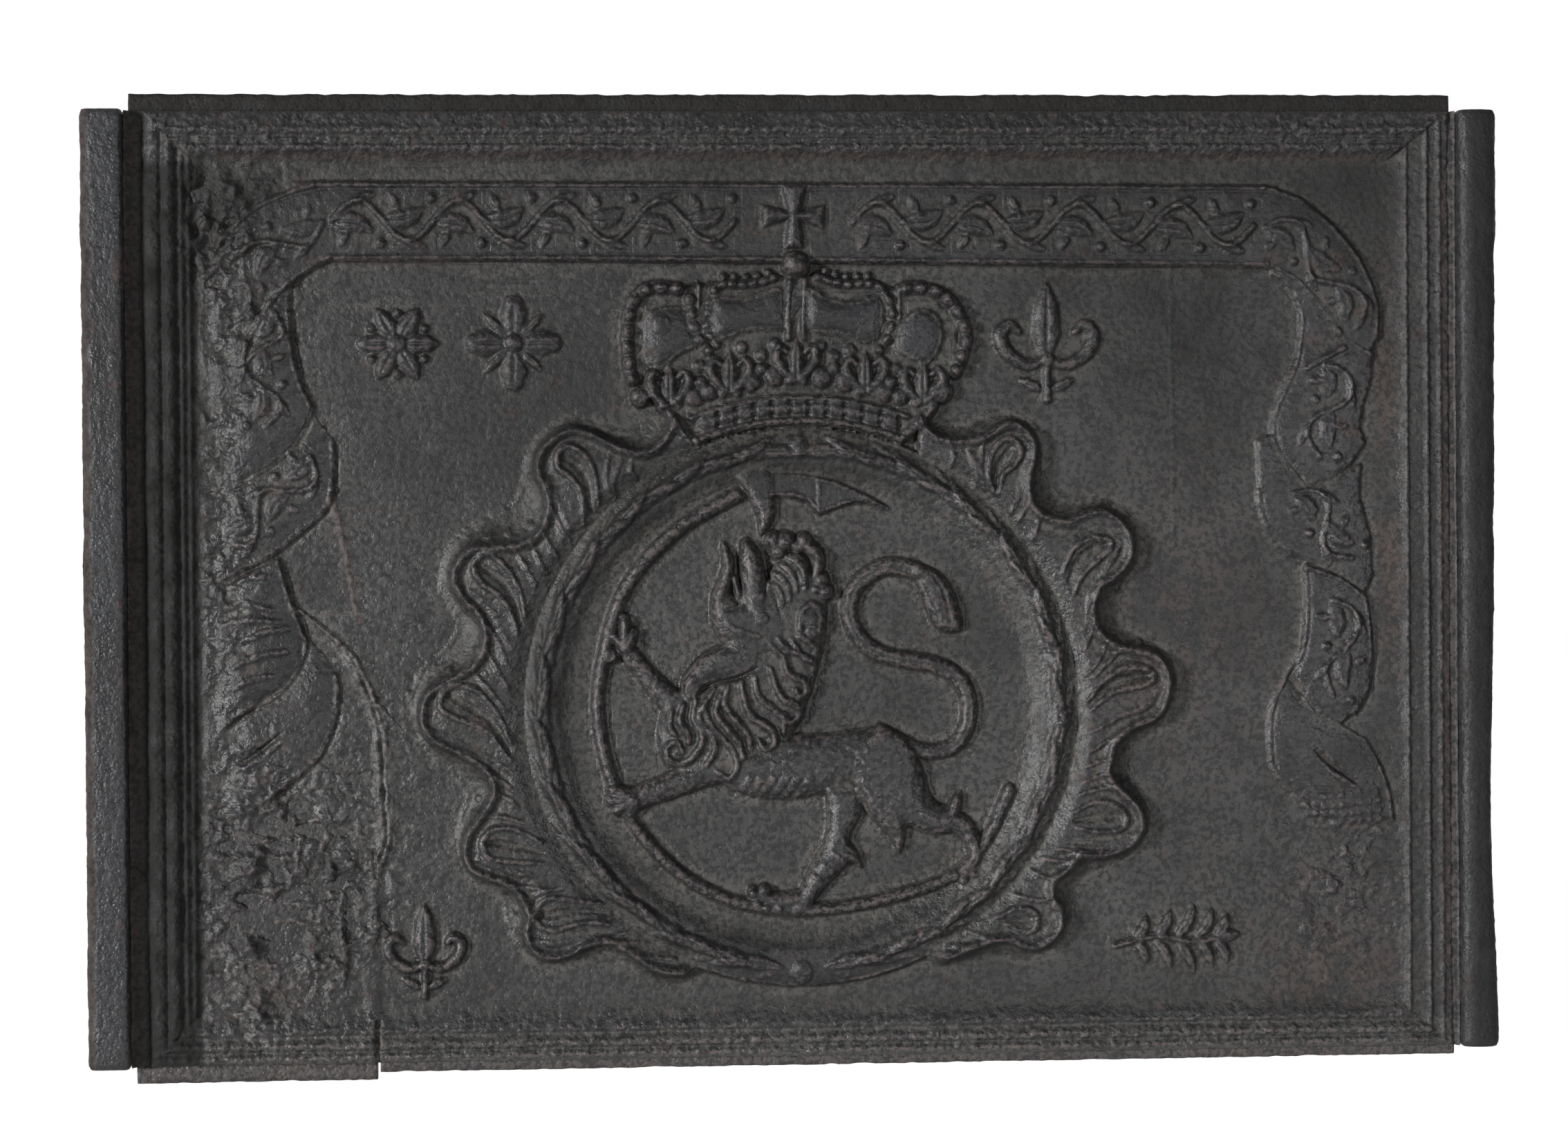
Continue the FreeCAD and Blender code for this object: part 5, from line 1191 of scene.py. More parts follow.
# The left frame is painted near-black as dark patina, and its gutter dark as painted shade; the right side
# and the top of the frame are darkened too.
FRAME_SOOT_AND_SHADE = [
    (mesh_x < -394, 1.2), (mesh_x < -432, 0.65), (mesh_x > 406, 0.4),
    ((mesh_x > -430) & (mesh_z > 606), 0.4)]
for place, amount in FRAME_SOOT_AND_SHADE:
    soot_and_shade = np.where(place, amount, soot_and_shade)
soot_and_shade = blur(soot_and_shade, 2, 3)
print("mean soot:", round(float(soot_and_shade.mean()), 2))

# %% Rubbed places, painted light and dust at the foot of the carving
# Painted highlight: the right half of the wreath is painted paler.
pale_and_lit = np.maximum(pale_and_lit, 0.22 * on_wreath * np.clip(mesh_x / 120, 0, 1))
pale_and_lit = np.maximum(pale_and_lit, 0.18 * np.clip((150 - radius) / 30, 0, 1))
# Painted light: the lower right of the field is painted paler.
pale_and_lit = np.maximum(pale_and_lit, 0.32 * spot(255, 90, 90, 45))


def belongs(*beginnings):
    """Where the lattice belongs to pieces whose names begin so."""
    return np.isin(owner, [k for k, name in enumerate(names) if name.startswith(beginnings)])


pale_and_lit = np.where(belongs("acanthus"), np.maximum(pale_and_lit, 0.14), pale_and_lit)
carved = belongs("lion", "axe", "crown", "banner").astype(float)
foot_dust = np.clip(2.2 * blur(carved, 2, 2) * (1 - carved), 0, 1)
pale_and_lit = np.maximum(pale_and_lit, 0.5 * foot_dust * np.clip(0.6 + 0.7 * lumps(14, 49), 0, 1))
print("mean of the pale marks:", round(float(pale_and_lit.mean()), 2))

# %% [markdown]
# Now the skin is parted into the pieces of the pattern. Every lattice cell belongs to one piece. The
# dish, the cap and the ribbon run on beneath what they carry, a little sunk, so nothing shows through.
# The board's face is parted into four stretches over a plain slab, and the dish's hollow is a piece of
# its own, because one mesh for each of them would be too heavy.

# %% What carries what
CARRIERS = {"field_panel": "field_panel"}
for name in names[1:]:
    CARRIERS[name] = "field_panel"
    if name.startswith(("lion", "axe")):
        CARRIERS[name] = "medallion_dish"
    if name in ("crown_arches", "crown_berries"):
        CARRIERS[name] = "crown_cap"
    if name in ("banner_leaf_run", "crown_cross", "crown_orb"):
        CARRIERS[name] = "banner_top_band"
print("carried by the dish:", sum(carrier == "medallion_dish" for carrier in CARRIERS.values()))


# %% Owners of the cells
def by_cell(points):
    """One value for each lattice cell, read from a point inside it."""
    inside_points = slice(1, None, FINE)
    return points[inside_points, inside_points][:CELLS_Z, :CELLS_X]


cell_owner = by_cell(owner).copy()
whole = {
    "medallion_dish": by_cell(dish_cells),
    "crown_cap": by_cell(cap_cells),
    "banner_top_band": by_cell(band_cells)}


def neighbours(cells):
    """The eight shifted copies of the cells."""
    wide = np.pad(cells, 1, constant_values=-1)
    tall, broad = cells.shape
    return [wide[1 + i:1 + i + tall, 1 + j:1 + j + broad] for i in (-1, 0, 1) for j in (-1, 0, 1) if i or j]


carrier_of = np.array([names.index(CARRIERS[name]) for name in names] + [-1])
ringed = cell_owner.copy()
for near in neighbours(cell_owner):
    carried = (carrier_of[near] == cell_owner) & (near != cell_owner) & (near > 0)
    ringed = np.where(carried & (ringed == cell_owner), near, ringed)
print("cells given to what stands beside them:", int((ringed != cell_owner).sum()))
cell_owner = ringed

# %% Stretches of the board and the dish
BOARD_SPLIT_X, BOARD_SPLIT_Z, HOLLOW_FROM = -2, 250, 136
cell_x, cell_z = by_cell(mesh_x), by_cell(mesh_z)
left_half, low_half = cell_x < BOARD_SPLIT_X, cell_z < BOARD_SPLIT_Z
hollow_ring = np.hypot(cell_x - CENTRE[0], cell_z - CENTRE[1]) > HOLLOW_FROM
STRETCHES = {
    "field_panel_left_low": ("field_panel", left_half & low_half),
    "field_panel_left_high": ("field_panel", left_half & ~low_half),
    "field_panel_right_low": ("field_panel", ~left_half & low_half),
    "field_panel_right_high": ("field_panel", ~left_half & ~low_half),
    "medallion_dish_hollow": ("medallion_dish", hollow_ring)}
for name, (node, part) in STRETCHES.items():
    names.append(name)
    CARRIERS[name] = "field_panel"
    cell_owner[part & (cell_owner == names.index(node))] = names.index(name)
whole["medallion_dish_hollow"] = whole["medallion_dish"] & hollow_ring
whole["medallion_dish"] = whole["medallion_dish"] & ~hollow_ring
under["medallion_dish_hollow"] = under["medallion_dish"]
for _ in range(3):
    for name in names[1:]:
        mine = cell_owner == names.index(name)
        a, b, c, d = mine[:-1, :-1], mine[:-1, 1:], mine[1:, :-1], mine[1:, 1:]
        cell_owner[:-1, 1:][a & d & ~b & ~c] = names.index(name)
        cell_owner[:-1, :-1][b & c & ~a & ~d] = names.index(name)
print("cells by stretch:", {name: int((cell_owner == names.index(name)).sum()) for name in STRETCHES})

# %% [markdown]
# Each piece is a grid over its own cells, cut finer, lifted to the heights and closed by a skirt and a
# back. A displace modifier on one sheet would leave no separate pieces, so the lattice is read point by
# point instead. Soot, dust, rust and the painted shade and light go along as values on the points, where
# the finish can read them.

# %% Cutting one piece out of the skin
SKIN_MARKS = {
    "hollow": hollow, "crease": crease, "pitted": pitting, "soot_and_shade": soot_and_shade, "rusty": rusty, "pale_and_lit": pale_and_lit}
SUNK, BACK_IN = 1.2, 0.7


def new_object(name, bm):
    """Makes an object at the origin from a bmesh."""
    mesh = bpy.data.meshes.new(name)
    bm.to_mesh(mesh)
    bm.free()
    obj = bpy.data.objects.new(name, mesh)
    bpy.context.collection.objects.link(obj)
    return obj


def sunk_points(carried, cells):
    """Lattice points that lie wholly under what a piece carries."""
    hidden = np.pad(carried | ~cells, 1, constant_values=True)
    some = np.pad(carried, 1, constant_values=False)
    rows, cols = np.arange(CELLS_Z * FINE + 1), np.arange(CELLS_X * FINE + 1)
    result = np.ones((len(rows), len(cols)), dtype=bool)
    touched = np.zeros(result.shape, dtype=bool)
    for i in (-(-rows // FINE), rows // FINE + 1):
        for j in (-(-cols // FINE), cols // FINE + 1):
            result &= hidden[np.ix_(i, j)]
            touched |= some[np.ix_(i, j)]
    return result & touched


def cast_piece(name):
    """A grid over the piece's cells, lifted to the sculpted heights and closed at the back."""
    own = cell_owner == names.index(name)
    cells = own | whole[name] if name in whole else own
    lift = height
    if name in whole:
        lift = np.where(sunk_points(cells & ~own, cells), under[name] - SUNK, height)
    rows, cols = np.nonzero(cells)
    low_row, low_col = rows.min(), cols.min()
    tall, broad = rows.max() - low_row + 1, cols.max() - low_col + 1
    bm = bmesh.new()
    bmesh.ops.create_grid(bm, x_segments=int(broad), y_segments=int(tall), size=0.5)
    bmesh.ops.translate(bm, verts=bm.verts, vec=(0.5, 0.5, 0))
    bmesh.ops.scale(bm, verts=bm.verts, vec=(float(broad), float(tall), 1))
    bmesh.ops.translate(bm, verts=bm.verts, vec=(float(low_col), float(low_row), 0))
    centres = [(face, face.calc_center_median()) for face in bm.faces]
    spare = [face for face, at in centres if not cells[int(at.y), int(at.x)]]
    bmesh.ops.delete(bm, geom=spare, context="FACES")
    bmesh.ops.subdivide_edges(bm, edges=bm.edges[:], cuts=FINE - 1, use_grid_fill=True)
    kept = [(bm.verts.layers.float.new(word), values) for word, values in SKIN_MARKS.items()]
    base = under[CARRIERS[name]]
    back = {}
    for vert in bm.verts:
        col, row = round(vert.co.x * FINE), round(vert.co.y * FINE)
        for layer, values in kept:
            vert[layer] = values[row, col]
        vert.co = Vector((xs[col], FACE_Y - lift[row, col], zs[row])) * MM
        back[round(vert.co.x, 6), round(vert.co.z, 6)] = FACE_Y - base[row, col] + BACK_IN
    for face in bm.faces:
        face.smooth = True
    rim = [edge for edge in bm.edges if edge.is_boundary]
    for edge in rim:
        edge.smooth = False
    skirt = bmesh.ops.extrude_edge_only(bm, edges=rim)["geom"]
    for vert in [item for item in skirt if isinstance(item, bmesh.types.BMVert)]:
        vert.co.y = MM * back[round(vert.co.x, 6), round(vert.co.z, 6)]
    for face in [item for item in skirt if isinstance(item, bmesh.types.BMFace)]:
        face.smooth = False
    bmesh.ops.holes_fill(bm, edges=[edge for edge in bm.edges if edge.is_boundary], sides=0)
    bmesh.ops.recalc_face_normals(bm, faces=bm.faces[:])
    return new_object(name, bm)


print("marks on the points:", list(SKIN_MARKS))

# %% Casting the pieces
SLAB_SIZE, SLAB_MIDDLE = (882.0, 3.5, 627.0), (0.0, 6.25, 325.5)
pieces = {}
bm = bmesh.new()
bmesh.ops.create_cube(bm, size=MM)
bmesh.ops.scale(bm, verts=bm.verts, vec=SLAB_SIZE)
bmesh.ops.translate(bm, verts=bm.verts, vec=[side * MM for side in SLAB_MIDDLE])
pieces["field_panel"] = new_object("field_panel", bm)
for name in names[1:]:
    pieces[name] = cast_piece(name)
print("cast pieces:", len(pieces), "faces:", sum(len(obj.data.polygons) for obj in pieces.values()))
print("largest:", max(len(obj.data.polygons) for obj in pieces.values()))

# %% [markdown]
# The two edge rolls are rounded in front and hold a channel behind for the edge of the next plate. One
# vertex is spun into a half circle, which is then squared a little, most on the side towards the field.
# The channel is joined to it, and the section is swept upwards in small steps. A bevelled curve would
# be shorter, but it would leave nothing to wear down. The right roll is bent inwards in its lower half,
# as old plates are.

# %% Section of an edge roll
ROLL_HALF, ROLL_AXIS, ROLL_BOTTOM, ROLL_TOP, ROLL_STEPS = 14.5, -0.5, 12.0, 639.0, 240
CHANNEL = [(-14.5, 15), (-5, 15), (-5, -1), (5, -1), (5, 15), (14.5, 15)]
UPWARDS = (0, 0, 1)
SQUARENESS = {-1: (0.27, 0.5), 1: (0.52, 0.80)}


def roll_section(bm, outer):
    """Draws the section of a roll. Outer is -1 on the left of the plate and 1 on the right."""
    start = bm.verts.new((ROLL_HALF, ROLL_AXIS, ROLL_BOTTOM))
    bmesh.ops.spin(
        bm, geom=[start], cent=(0, ROLL_AXIS, 0), axis=UPWARDS, dvec=(0, 0, 0), angle=-math.pi, steps=44)
    last = min(bm.verts, key=lambda vert: vert.co.x)
    towards_field, away = SQUARENESS[outer]
    for vert in bm.verts:
        across, out = vert.co.x / ROLL_HALF, (vert.co.y - ROLL_AXIS) / ROLL_HALF
        square = towards_field if across * outer < 0 else away
        x = ROLL_HALF * math.copysign(abs(across) ** square, across)
        vert.co = Vector((x, ROLL_AXIS - ROLL_HALF * abs(out) ** square, ROLL_BOTTOM))
    chain = [last]
    for x, y in CHANNEL:
        chain.append(bm.verts.new((x, y, ROLL_BOTTOM)))
    chain.append(start)
    for a, b in zip(chain[:-1], chain[1:]):
        bm.edges.new((a, b))
    long = [edge for edge in bm.edges if edge.calc_length() > 3.5]
    bmesh.ops.subdivide_edges(bm, edges=long, cuts=5)


print("step of the sweep:", round((ROLL_TOP - ROLL_BOTTOM) / ROLL_STEPS, 2), "mm")


# %% Sweeping and wearing the rolls
def share_of(value):
    """Keeps a value between 0 and 1."""
    return max(0.0, min(1.0, value))


def edge_roll(name, middle_x):
    """Sweeps the section of a roll upwards and wears it a little."""
    outer = 1 if middle_x > 0 else -1
    bm = bmesh.new()
    roll_section(bm, outer)
    step = (ROLL_TOP - ROLL_BOTTOM) / ROLL_STEPS
    bmesh.ops.spin(
        bm, geom=bm.edges[:], cent=(0, 0, 0), axis=UPWARDS, dvec=(0, 0, step), angle=0, steps=ROLL_STEPS)
    bmesh.ops.holes_fill(bm, edges=[edge for edge in bm.edges if edge.is_boundary], sides=0)
    bmesh.ops.recalc_face_normals(bm, faces=bm.faces[:])
    marks = {word: bm.verts.layers.float.new(word) for word in SKIN_MARKS}
    for vert in bm.verts:
        x, y, z = vert.co
        place = Vector((x + middle_x, y, z))
        rough = 0.5 * noise.noise(place / 4.5) + 0.45 * noise.noise(place / 2.2)
        rough += 0.7 * noise.noise(place / 40.0)
        front = share_of((6 - y) / 6)
        out = Vector((x, (y - ROLL_AXIS) * 1.5, 0)).normalized()
        vert.co += out * (rough - 0.9) * front * 0.8
        near_end = max(0.0, 5 - min(z - ROLL_BOTTOM, ROLL_TOP - z)) / 5
        vert.co -= out * 1.6 * near_end ** 2 * front
        bend = 5.5 * math.exp(-((z - 170) / 120) ** 2) + 2.0 * math.exp(-((z - 400) / 160) ** 2)
        if outer > 0 and x > 0:
            vert.co.x -= x / ROLL_HALF * bend
        wave = outer * 0.8 * noise.noise(Vector((0, 0, z / 25.0)))
        vert.co.x += wave * max(0.0, outer * x) / ROLL_HALF - outer * 0.4
        edge_rust = share_of((outer * x - 6.5 + 2.5 * noise.noise(place / 9.0)) / 3.0)
        vert[marks["rusty"]] = 0.8 * edge_rust if outer < 0 else 0.3 * edge_rust
        vert[marks["hollow"]] = -1.2 * front
        vert[marks["pitted"]] = 0.45 + 0.3 * noise.noise(place / 50.0)
        # The right roll is darkened, all but its inner flank.
        vert[marks["soot_and_shade"]] = 0.5 * edge_rust if outer < 0 else 0.3 + 0.7 * share_of((x + 9) / 6)
        vert.co = Vector((vert.co.x + middle_x, vert.co.y, vert.co.z)) * MM
    for face in bm.faces:
        face.smooth = len(face.verts) == 4
    return new_object(name, bm)


ROLLS = {"left_edge_roll": -455.5, "right_edge_roll": 455.5}
for name, middle_x in ROLLS.items():
    pieces[name] = edge_roll(name, middle_x)
print("faces of the rolls:", [len(pieces[name].data.polygons) for name in ROLLS])

# %% [markdown]
# The tongues at the top and bottom enter grooves of the neighbouring plates. Their edges are chipped
# and wavy. A cube stretched to size, cut into short lengths and jittered a little gives that edge. The
# lower edge is split where the plate has cracked, so there are two tongues at the bottom.

# %% Tongues
TONGUE_THICK = 7.0
TONGUES = {
    "top_tongue": (-439, 439, 639, 651),
    "bottom_tongue_left": (-439, -282, 0, 12),
    "bottom_tongue_right": (-280, 439, 5, 12),
}
for name, (left, right_end, low, high) in TONGUES.items():
    bm = bmesh.new()
    bmesh.ops.create_cube(bm, size=1.0)
    bmesh.ops.scale(bm, verts=bm.verts, vec=(right_end - left, TONGUE_THICK, high - low))
    bmesh.ops.translate(bm, verts=bm.verts, vec=((left + right_end) / 2, TONGUE_THICK / 2, (low + high) / 2))
    along = [edge for edge in bm.edges if abs(edge.verts[0].co.x - edge.verts[1].co.x) > 1]
    bmesh.ops.subdivide_edges(bm, edges=along, cuts=int((right_end - left) / 2), use_grid_fill=True)
    across = [edge for edge in bm.edges if abs(edge.verts[0].co.x - edge.verts[1].co.x) < 0.1]
    bmesh.ops.subdivide_edges(bm, edges=across, cuts=3, use_grid_fill=True)
    marks = {word: bm.verts.layers.float.new(word) for word in SKIN_MARKS}
    inward = -1 if name == "top_tongue" else 1
    for vert in bm.verts:
        place = vert.co.copy()
        free = (place.z - low) / (high - low)
        free = free if name == "top_tongue" else 1 - free
        face_side = 1 if place.y < TONGUE_THICK / 2 else -1
        rough = 0.5 * noise.noise(place / 5.0) + 0.4 * noise.noise(place / 2.2)
        vert.co.y += face_side * (0.5 + rough + 0.8 * free ** 3)
        vert.co.z += inward * free * abs(0.9 * noise.noise(place / 9.0) + 1.2 * noise.noise(place / 30.0))
        vert[marks["pitted"]] = 0.8
        # Painted shade: the top tongue is painted near-black.
        vert[marks["soot_and_shade"]] = 1.0 if name == "top_tongue" else 0.0
        vert[marks["rusty"]] = 0.35 + 0.3 * noise.noise(place / 30.0)
        vert[marks["pale_and_lit"]] = 0.0 if name == "top_tongue" else 0.45
        vert.co *= MM
    for face in bm.faces:
        face.smooth = abs(face.normal.y) > 0.9
    pieces[name] = new_object(name, bm)
print("tongues:", list(TONGUES))

# %% [markdown]
# The finish is old blackened iron. It is a dark, slightly blue grey where it is rubbed smooth, brown
# where rust has bloomed, dusty in the hollows and black with soot. Shade and highlights are painted
# into it too: dark in creases, on steep walls and on shaded places, pale on some lit places. A scanned
# texture would need a picture and an unwrapping. Here the finish is mixed from noise and from the marks
# kept on the points, so it fits any piece of the plate.

# %% Iron finish: mixing helpers
def ramp(tree, source, low, high):
    """A soft step from 0 to 1 between two values."""
    node = tree.nodes.new("ShaderNodeMapRange")
    node.interpolation_type = "SMOOTHSTEP"
    node.inputs["From Min"].default_value = low
    node.inputs["From Max"].default_value = high
    tree.links.new(source, node.inputs["Value"])
    return node.outputs["Result"]


def sand(tree, place, scale, detail):
    """Noise of that scale over the object."""
    node = tree.nodes.new("ShaderNodeTexNoise")
    node.inputs["Scale"].default_value = scale
    node.inputs["Detail"].default_value = detail
    node.inputs["Roughness"].default_value = 0.6
    tree.links.new(place, node.inputs["Vector"])
    return node.outputs["Fac"]


def kept_mark(tree, word):
    """Reads a mark kept on the piece's points."""
    node = tree.nodes.new("ShaderNodeAttribute")
    node.attribute_name = word
    return node.outputs["Fac"]


def tint(tree, amount, under_colour, over_colour):
    """Lays a colour over another by an amount."""
    node = tree.nodes.new("ShaderNodeMix")
    node.data_type = "RGBA"
    tree.links.new(amount, node.inputs["Factor"])
    for socket, colour in (("A", under_colour), ("B", over_colour)):
        target = [item for item in node.inputs if item.name == socket and item.type == "RGBA"][0]
        if isinstance(colour, tuple):
            target.default_value = (*colour, 1)
        else:
            tree.links.new(colour, target)
    return [item for item in node.outputs if item.type == "RGBA"][0]


def combine(tree, a, b, operation="MULTIPLY"):
    """Joins two values."""
    node = tree.nodes.new("ShaderNodeMath")
    node.operation = operation
    for socket, value in zip(node.inputs, (a, b)):
        if isinstance(value, float):
            socket.default_value = value
        else:
            tree.links.new(value, socket)
    return node.outputs[0]


print("helpers:", [helper.__name__ for helper in (ramp, sand, kept_mark, tint, combine)])

# %% [markdown]
# The colour is laid on coat by coat, as a painter would: two greys first, then dark clouds, rust,
# settled dust, rubbed crests, pale marks with painted highlights, painted shade in the creases, rubbed
# edges that are partly painted highlights, dark specks, and soot with painted shade over all of it.
# Every coat has a mask that says where it goes.

# %% Iron finish: colour
GRAINS = {
    "drift": (9.0, 6.0), "cloud": (26.0, 5.0), "mottle": (60.0, 5.0),
    "coarse": (280.0, 3.0), "fine": (700.0, 3.0)}
DARK_DRIFT, DARK_CLOUD, CREASE_SHADE = (0.017, 0.0165, 0.016), (0.022, 0.022, 0.023), (0.012, 0.011, 0.010)
DUST, WORN_CREST, BARE_IRON_AND_LIGHT = (0.112, 0.107, 0.095), (0.060, 0.055, 0.054), (0.120, 0.117, 0.112)
RUBBED_EDGE_AND_HIGHLIGHT, DARK_SPECK, SOOT_AND_SHADE = (0.130, 0.108, 0.101), (0.014, 0.014, 0.015), (0.008, 0.0075, 0.007)


def iron_colour(tree, mark_of, grain_of, steel, ash, rust, bloom, dust_amount):
    """Blue-black and ash-grey patches, rust, dust, rubbed crests, soot, painted shade and highlights."""
    low, fold, coarse = mark_of["hollow"], mark_of["crease"], grain_of["coarse"]
    colour = tint(tree, ramp(tree, low, -0.9, 0.5), steel, ash)
    colour = tint(tree, combine(tree, ramp(tree, grain_of["drift"], 0.46, 0.62), 0.6), colour, DARK_DRIFT)
    colour = tint(tree, combine(tree, ramp(tree, grain_of["cloud"], 0.50, 0.64), 0.5), colour, DARK_CLOUD)
    colour = tint(tree, bloom, colour, rust)
    settle = combine(tree, ramp(tree, low, 0.1, 1.3), ramp(tree, grain_of["mottle"], 0.36, 0.56))
    colour = tint(tree, combine(tree, settle, dust_amount), colour, DUST)
    crest = combine(tree, ramp(tree, combine(tree, low, -1.0), 0.9, 3.0), ramp(tree, coarse, 0.40, 0.60))
    colour = tint(tree, combine(tree, crest, 0.45), colour, WORN_CREST)
    # Pale marks: rubbed iron, plus painted highlights and painted light on some lit places.
    colour = tint(tree, combine(tree, mark_of["pale_and_lit"], 0.8), colour, BARE_IRON_AND_LIGHT)
    # Painted shade: creases are painted darker.
    colour = tint(tree, combine(tree, ramp(tree, fold, 0.4, 1.3), 0.7), colour, CREASE_SHADE)
    # Rubbed edges: wear on small crests, painted lighter as a painted highlight too.
    rubbed_and_highlit = combine(tree, ramp(tree, combine(tree, fold, -1.0), 0.10, 0.5), ramp(tree, coarse, 0.40, 0.60))
    colour = tint(tree, combine(tree, rubbed_and_highlit, 0.65), colour, RUBBED_EDGE_AND_HIGHLIGHT)
    colour = tint(tree, combine(tree, ramp(tree, coarse, 0.55, 0.42), 0.72), colour, DARK_SPECK)
    # Soot and painted shade over all.
    return tint(tree, combine(tree, mark_of["soot_and_shade"], 0.85), colour, SOOT_AND_SHADE)


print("scales of noise:", {word: scale for word, (scale, _) in GRAINS.items()})


# %% Iron finish: sheen and grain
def iron_sheen(tree, mark_of, grain_of, bloom, smoothest):
    """Roughness, from the smoothest value upwards. Soot, painted shade and rust make it more matt."""
    rough = tree.nodes.new("ShaderNodeMapRange")
    rough.inputs["From Min"].default_value = 0.3
    rough.inputs["From Max"].default_value = 0.7
    rough.inputs["To Min"].default_value = smoothest
    rough.inputs["To Max"].default_value = smoothest + 0.31
    tree.links.new(grain_of["mottle"], rough.inputs["Value"])
    matt = combine(tree, combine(tree, mark_of["soot_and_shade"], 0.3), combine(tree, bloom, 0.25), "ADD")
    return combine(tree, rough.outputs["Result"], matt, "ADD")


def iron_grain(tree, place, mark_of, grain_of):
    """A bump of sand grain, with pits where the iron is corroded."""
    cells = tree.nodes.new("ShaderNodeTexVoronoi")
    cells.inputs["Scale"].default_value = 300.0
    tree.links.new(place, cells.inputs["Vector"])
    pitted = combine(tree, mark_of["pitted"], 0.25, "ADD")
    pits = combine(tree, ramp(tree, cells.outputs["Distance"], 0.0, 0.5), pitted)
    grains = combine(tree, grain_of["coarse"], combine(tree, grain_of["fine"], 0.5), "ADD")
    bump = tree.nodes.new("ShaderNodeBump")
    bump.inputs["Strength"].default_value = 1.0
    bump.inputs["Distance"].default_value = 0.0008
    tree.links.new(combine(tree, grains, combine(tree, pits, 0.5), "ADD"), bump.inputs["Height"])
    return bump.outputs["Normal"]


def blackened_iron(name, steel, ash, rust, rust_from, dust_amount, smoothest):
    """Old cast iron, from its two greys, its rust, and how dusty and how smooth it is."""
    material = bpy.data.materials.new(name)
    material.use_nodes = True
    tree = material.node_tree
    shader = tree.nodes["Principled BSDF"]
    place = tree.nodes.new("ShaderNodeTexCoord").outputs["Object"]
    mark_of = {word: kept_mark(tree, word) for word in SKIN_MARKS}
    grain_of = {word: sand(tree, place, scale, detail) for word, (scale, detail) in GRAINS.items()}
    spots = combine(tree, ramp(tree, grain_of["mottle"], rust_from, rust_from + 0.10), 0.6)
    bloom = combine(tree, spots, mark_of["rusty"], "MAXIMUM")
    colour = iron_colour(tree, mark_of, grain_of, steel, ash, rust, bloom, dust_amount)
    tree.links.new(colour, shader.inputs["Base Color"])
    tree.links.new(iron_sheen(tree, mark_of, grain_of, bloom, smoothest), shader.inputs["Roughness"])
    shader.inputs["Specular IOR Level"].default_value = 0.45
    tree.links.new(iron_grain(tree, place, mark_of, grain_of), shader.inputs["Normal"])
    return material


print("sheen and grain use", len(GRAINS), "scales of noise and", len(SKIN_MARKS), "marks")

# %% [markdown]
# The frame, the field and the relief have weathered differently. The relief is handled most, so it is
# the smoothest and darkest, and the open field is the palest. Three irons from one recipe show that.

# %% Iron finish: three irons
IRON = {
    "cast_iron_frame": blackened_iron(
        "frame_iron", (0.040, 0.041, 0.045), (0.046, 0.045, 0.043), (0.090, 0.060, 0.052),
        rust_from=0.60, dust_amount=0.5, smoothest=0.27),
    "cast_iron_field": blackened_iron(
        "field_iron", (0.049, 0.049, 0.051), (0.058, 0.057, 0.055), (0.096, 0.071, 0.063),
        rust_from=0.60, dust_amount=0.55, smoothest=0.29),
    "cast_iron_relief": blackened_iron(
        "relief_iron", (0.036, 0.037, 0.042), (0.051, 0.050, 0.048), (0.095, 0.066, 0.058),
        rust_from=0.59, dust_amount=0.55, smoothest=0.22),
}
FRAME_NAMES = ("roll", "tongue", "moulding")
for name, obj in pieces.items():
    slot = "cast_iron_relief"
    if any(word in name for word in FRAME_NAMES):
        slot = "cast_iron_frame"
    if name.startswith(("field_panel", "medallion_dish")):
        slot = "cast_iron_field"
    obj.data.materials.append(IRON[slot])
    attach(obj, "root")
    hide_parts(STRETCHES[name][0] if name in STRETCHES else name)
print("finished pieces:", len(pieces), "for", len(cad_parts), "nodes")

# %% [markdown]
# A plain studio: pale floor, white surroundings, a broad soft lamp low on the left and a weak one on
# the right. The side light rakes over the relief, and that is what makes shallow carving readable. A
# picture of a real room would throw its own colours on the iron, so the surroundings are plain white,
# and dimmer where they only fill in.

# %% Studio floor
bm = bmesh.new()
bmesh.ops.create_grid(bm, x_segments=1, y_segments=1, size=6.0)
floor = new_object("floor", bm)
paint = bpy.data.materials.new("pale_floor")
paint.use_nodes = True
tree = paint.node_tree
shader = tree.nodes["Principled BSDF"]
shader.inputs["Base Color"].default_value = (0.85, 0.85, 0.85, 1)
shader.inputs["Roughness"].default_value = 0.8
shader.inputs["Emission Color"].default_value = (1, 1, 1, 1)


def seen_rays(tree):
    """1 for what the camera, a reflection or clear glass looks at."""
    rays = tree.nodes.new("ShaderNodeLightPath")
    seen = combine(tree, rays.outputs["Is Camera Ray"], rays.outputs["Is Glossy Ray"], "MAXIMUM")
    return combine(tree, seen, rays.outputs["Is Transmission Ray"], "MAXIMUM")


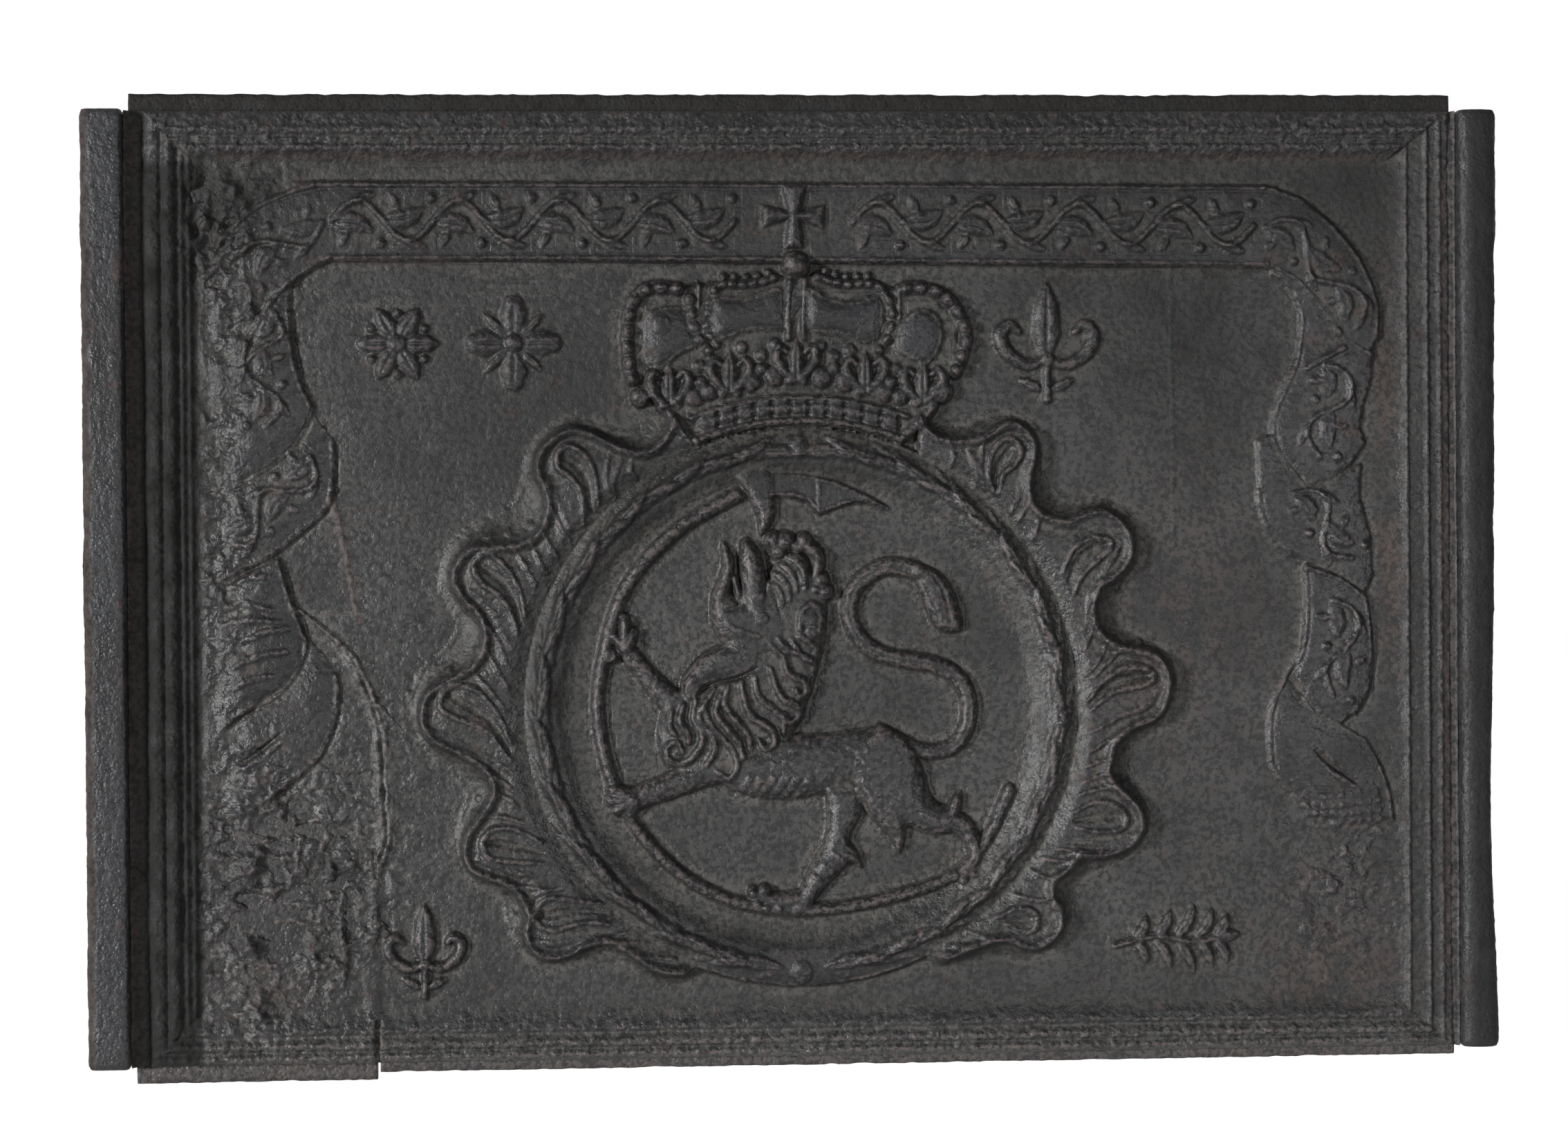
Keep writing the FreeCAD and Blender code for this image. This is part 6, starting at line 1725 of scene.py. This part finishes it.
where = tree.nodes.new("ShaderNodeSeparateXYZ")
tree.links.new(tree.nodes.new("ShaderNodeTexCoord").outputs["Object"], where.inputs["Vector"])
camera_ray = tree.nodes.new("ShaderNodeLightPath").outputs["Is Camera Ray"]
lit_floor = combine(tree, ramp(tree, where.outputs["Y"], -0.4, 0.3), camera_ray, "MAXIMUM")
glow = combine(tree, combine(tree, seen_rays(tree), lit_floor), 0.9)
tree.links.new(glow, shader.inputs["Emission Strength"])
floor.data.materials.append(paint)
print("floor:", [round(side, 1) for side in floor.dimensions[:2]], "m")

# %% Studio surroundings
world = bpy.data.worlds.new("white_studio")
bpy.context.scene.world = world
world.use_nodes = True
tree = world.node_tree
sky = tree.nodes["Background"]
sky.inputs["Color"].default_value = (1, 1, 1, 1)
direction = tree.nodes.new("ShaderNodeSeparateXYZ")
tree.links.new(tree.nodes.new("ShaderNodeTexCoord").outputs["Generated"], direction.inputs["Vector"])
room = tree.nodes.new("ShaderNodeMapRange")
room.inputs["From Min"].default_value = -0.1
room.inputs["From Max"].default_value = 0.3
room.inputs["To Min"].default_value = 0.08
room.inputs["To Max"].default_value = 1.0
tree.links.new(direction.outputs["Y"], room.inputs["Value"])
camera_ray = tree.nodes.new("ShaderNodeLightPath").outputs["Is Camera Ray"]
backdrop = combine(tree, room.outputs["Result"], camera_ray, "MAXIMUM")
strength = tree.nodes.new("ShaderNodeMix")
strength.inputs[2].default_value = 0.07
tree.links.new(seen_rays(tree), strength.inputs[0])
tree.links.new(backdrop, strength.inputs[3])
tree.links.new(strength.outputs[0], sky.inputs["Strength"])
print("surroundings:", world.name)


# %% Studio lamps
def lamp(name, place, target, wide, tall, power):
    """A soft lamp aimed at a point."""
    light = bpy.data.lights.new(name, "AREA")
    light.shape = "RECTANGLE"
    light.size = wide
    light.size_y = tall
    light.energy = power
    obj = bpy.data.objects.new(name, light)
    bpy.context.collection.objects.link(obj)
    obj.location = place
    obj.rotation_euler = (Vector(target) - Vector(place)).to_track_quat("-Z", "Y").to_euler()
    return obj


lamp("key_lamp", (-8.0, -6.0, 0.9), (0.0, 0.0, 0.3), 1.6, 1.2, 1060)
lamp("low_lamp", (2.2, -4.4, 0.3), (0.0, 0.0, 0.3), 0.8, 0.5, 60)
bpy.context.scene.view_settings.view_transform = "Standard"
print("lamps:", [light.name for light in bpy.data.lights])
